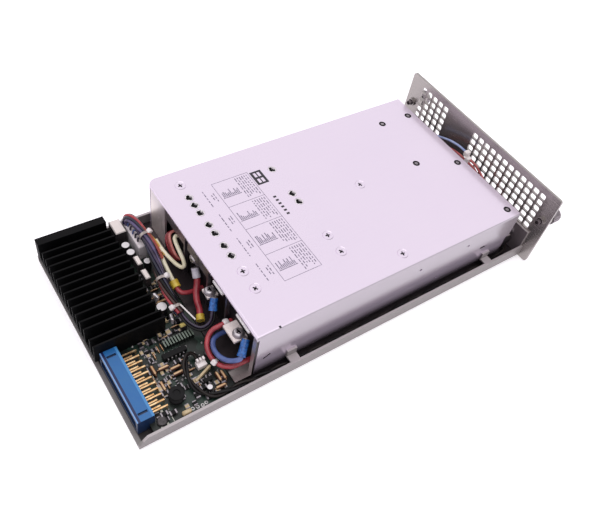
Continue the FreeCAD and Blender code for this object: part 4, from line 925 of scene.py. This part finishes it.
def combHeader():
    bm = bmesh.new()
    (x0, x1), (y0, y1), (z0, z1) = combLook["x"], combLook["y"], combLook["z"]
    step = combLook["step"]
    addCube(bm, standAt((x0 + x1) / 2, (y0 + y1) / 2, (z0 + step) / 2), (x1 - x0, y1 - y0, step - z0))
    pitch = (x1 - x0) / combLook["fingers"]
    everything = bm.verts[:] + bm.edges[:] + bm.faces[:]
    lines = [(spot(x0 + pitch * k + pitch * half, 0, 0), (1, 0, 0)) for k in range(combLook["fingers"])
             for half in ((1 - combLook["share"]) / 2, (1 + combLook["share"]) / 2)]
    lines.append((spot(0, y1 - combLook["deep"], 0), (0, 1, 0)))
    for cutAt, way in lines:
        everything = bmesh.ops.bisect_plane(bm, geom=everything, dist=cutReach, plane_co=cutAt, plane_no=way)["geom"]
    tops = []
    for face in bm.faces:
        middle = face.calc_center_median() * 1000 + boxCorner
        along = ((middle.x - x0) / pitch) % 1
        if face.normal.z > 0.9 and middle.y > y1 - combLook["deep"] and abs(along - 0.5) < combLook["share"] / 2:
            tops.append(face)
    raised = bmesh.ops.extrude_discrete_faces(bm, faces=tops)["faces"]
    bmesh.ops.translate(bm, verts=partsOf(raised, "verts"), vec=(0, 0, (z1 - step) / 1000))
    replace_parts(newPiece("comb_header", bm, "whitePlastic", "white_plastic"), "plug_header")


combHeader()
print("comb header made")

# Floor, light and view.
stageLook = {
    "floor": "#FFFFFF", "bounce": "#E4E0E6", "glow": 0.3, "size": 6.0, "dome": (1, 0.95, 1.02, 1), "sky": 1.1,
    "horizon": 0.42, "zenith": 0.9, "lampPower": 3.0, "lampPlace": (-0.15, -0.1, 1.1), "lampSize": 1.0}


# Rays that show the white surroundings: straight, mirrored or let through.
def seenRay(add):
    path = add("LightPath").outputs
    shown = add("Math", {0: path["Is Camera Ray"], 1: path["Is Glossy Ray"]}, operation="ADD")
    return add("Math", {0: shown, 1: path["Is Transmission Ray"]}, operation="ADD", use_clamp=True)


def floorFinish(add, look):
    paint = add("BsdfDiffuse", {"Color": linear(look["floor"])})
    glow = add("Emission", {"Color": (1, 1, 1, 1), "Strength": look["glow"]})
    both = add("AddShader", {0: paint, 1: glow})
    bounce = add("BsdfDiffuse", {"Color": linear(look["bounce"])})
    return add("MixShader", {0: seenRay(add), 1: bounce, 2: both})


def buildStage():
    bm = bmesh.new()
    bmesh.ops.create_grid(bm, x_segments=2, y_segments=2, size=stageLook["size"] / 2)
    mesh = bpy.data.meshes.new("floor")
    bm.to_mesh(mesh)
    bm.free()
    floor = bpy.data.objects.new("floor", mesh)
    scene.collection.objects.link(floor)
    mesh.materials.append(newMaterial("paleFloor", floorFinish, stageLook))
    world = bpy.data.worlds.new("softbox")
    world.use_nodes = True
    world.node_tree.nodes.clear()
    add = partial(addNode, world.node_tree)
    way = add("SeparateXYZ", {0: add("TexCoord").outputs["Generated"]})
    rise = add("MapRange", {"Value": way.outputs["Z"], "From Min": 0.0, "From Max": stageLook["zenith"],
                            "To Min": stageLook["horizon"], "To Max": stageLook["sky"]})
    dome = add("Background", {"Color": stageLook["dome"], "Strength": rise})
    white = add("Background", {"Color": (1, 1, 1, 1), "Strength": 1.0})
    add("OutputWorld", {"Surface": add("MixShader", {0: seenRay(add), 1: dome, 2: white})})
    scene.world = world
    lamp = bpy.data.lights.new("softLamp", "AREA")
    lamp.energy = stageLook["lampPower"]
    lamp.size = stageLook["lampSize"]
    holder = bpy.data.objects.new("softLamp", lamp)
    holder.location = stageLook["lampPlace"]
    holder.rotation_euler = (-Vector(stageLook["lampPlace"])).to_track_quat("-Z", "Y").to_euler()
    scene.collection.objects.link(holder)


# The photo's view, worked out from the box's corners.
viewLook = {
    "place": (-0.19794, -0.19938, 0.32775), "turn": (39.3463, -8.2655, -33.7690), "lens": 40.55, "sensor": 36,
    "shift": (-0.0015, -0.0011), "clip": 0.01}


def buildView():
    camera = bpy.data.cameras.new("camera")
    camera.lens = viewLook["lens"]
    camera.sensor_width = viewLook["sensor"]
    camera.shift_x, camera.shift_y = viewLook["shift"]
    camera.clip_start = viewLook["clip"]
    holder = bpy.data.objects.new("camera", camera)
    holder.location = viewLook["place"]
    holder.rotation_euler = [math.radians(angle) for angle in viewLook["turn"]]
    scene.collection.objects.link(holder)
    scene.camera = holder
    scene.view_settings.view_transform = "Standard"


buildStage()
buildView()
print("stage and view set")
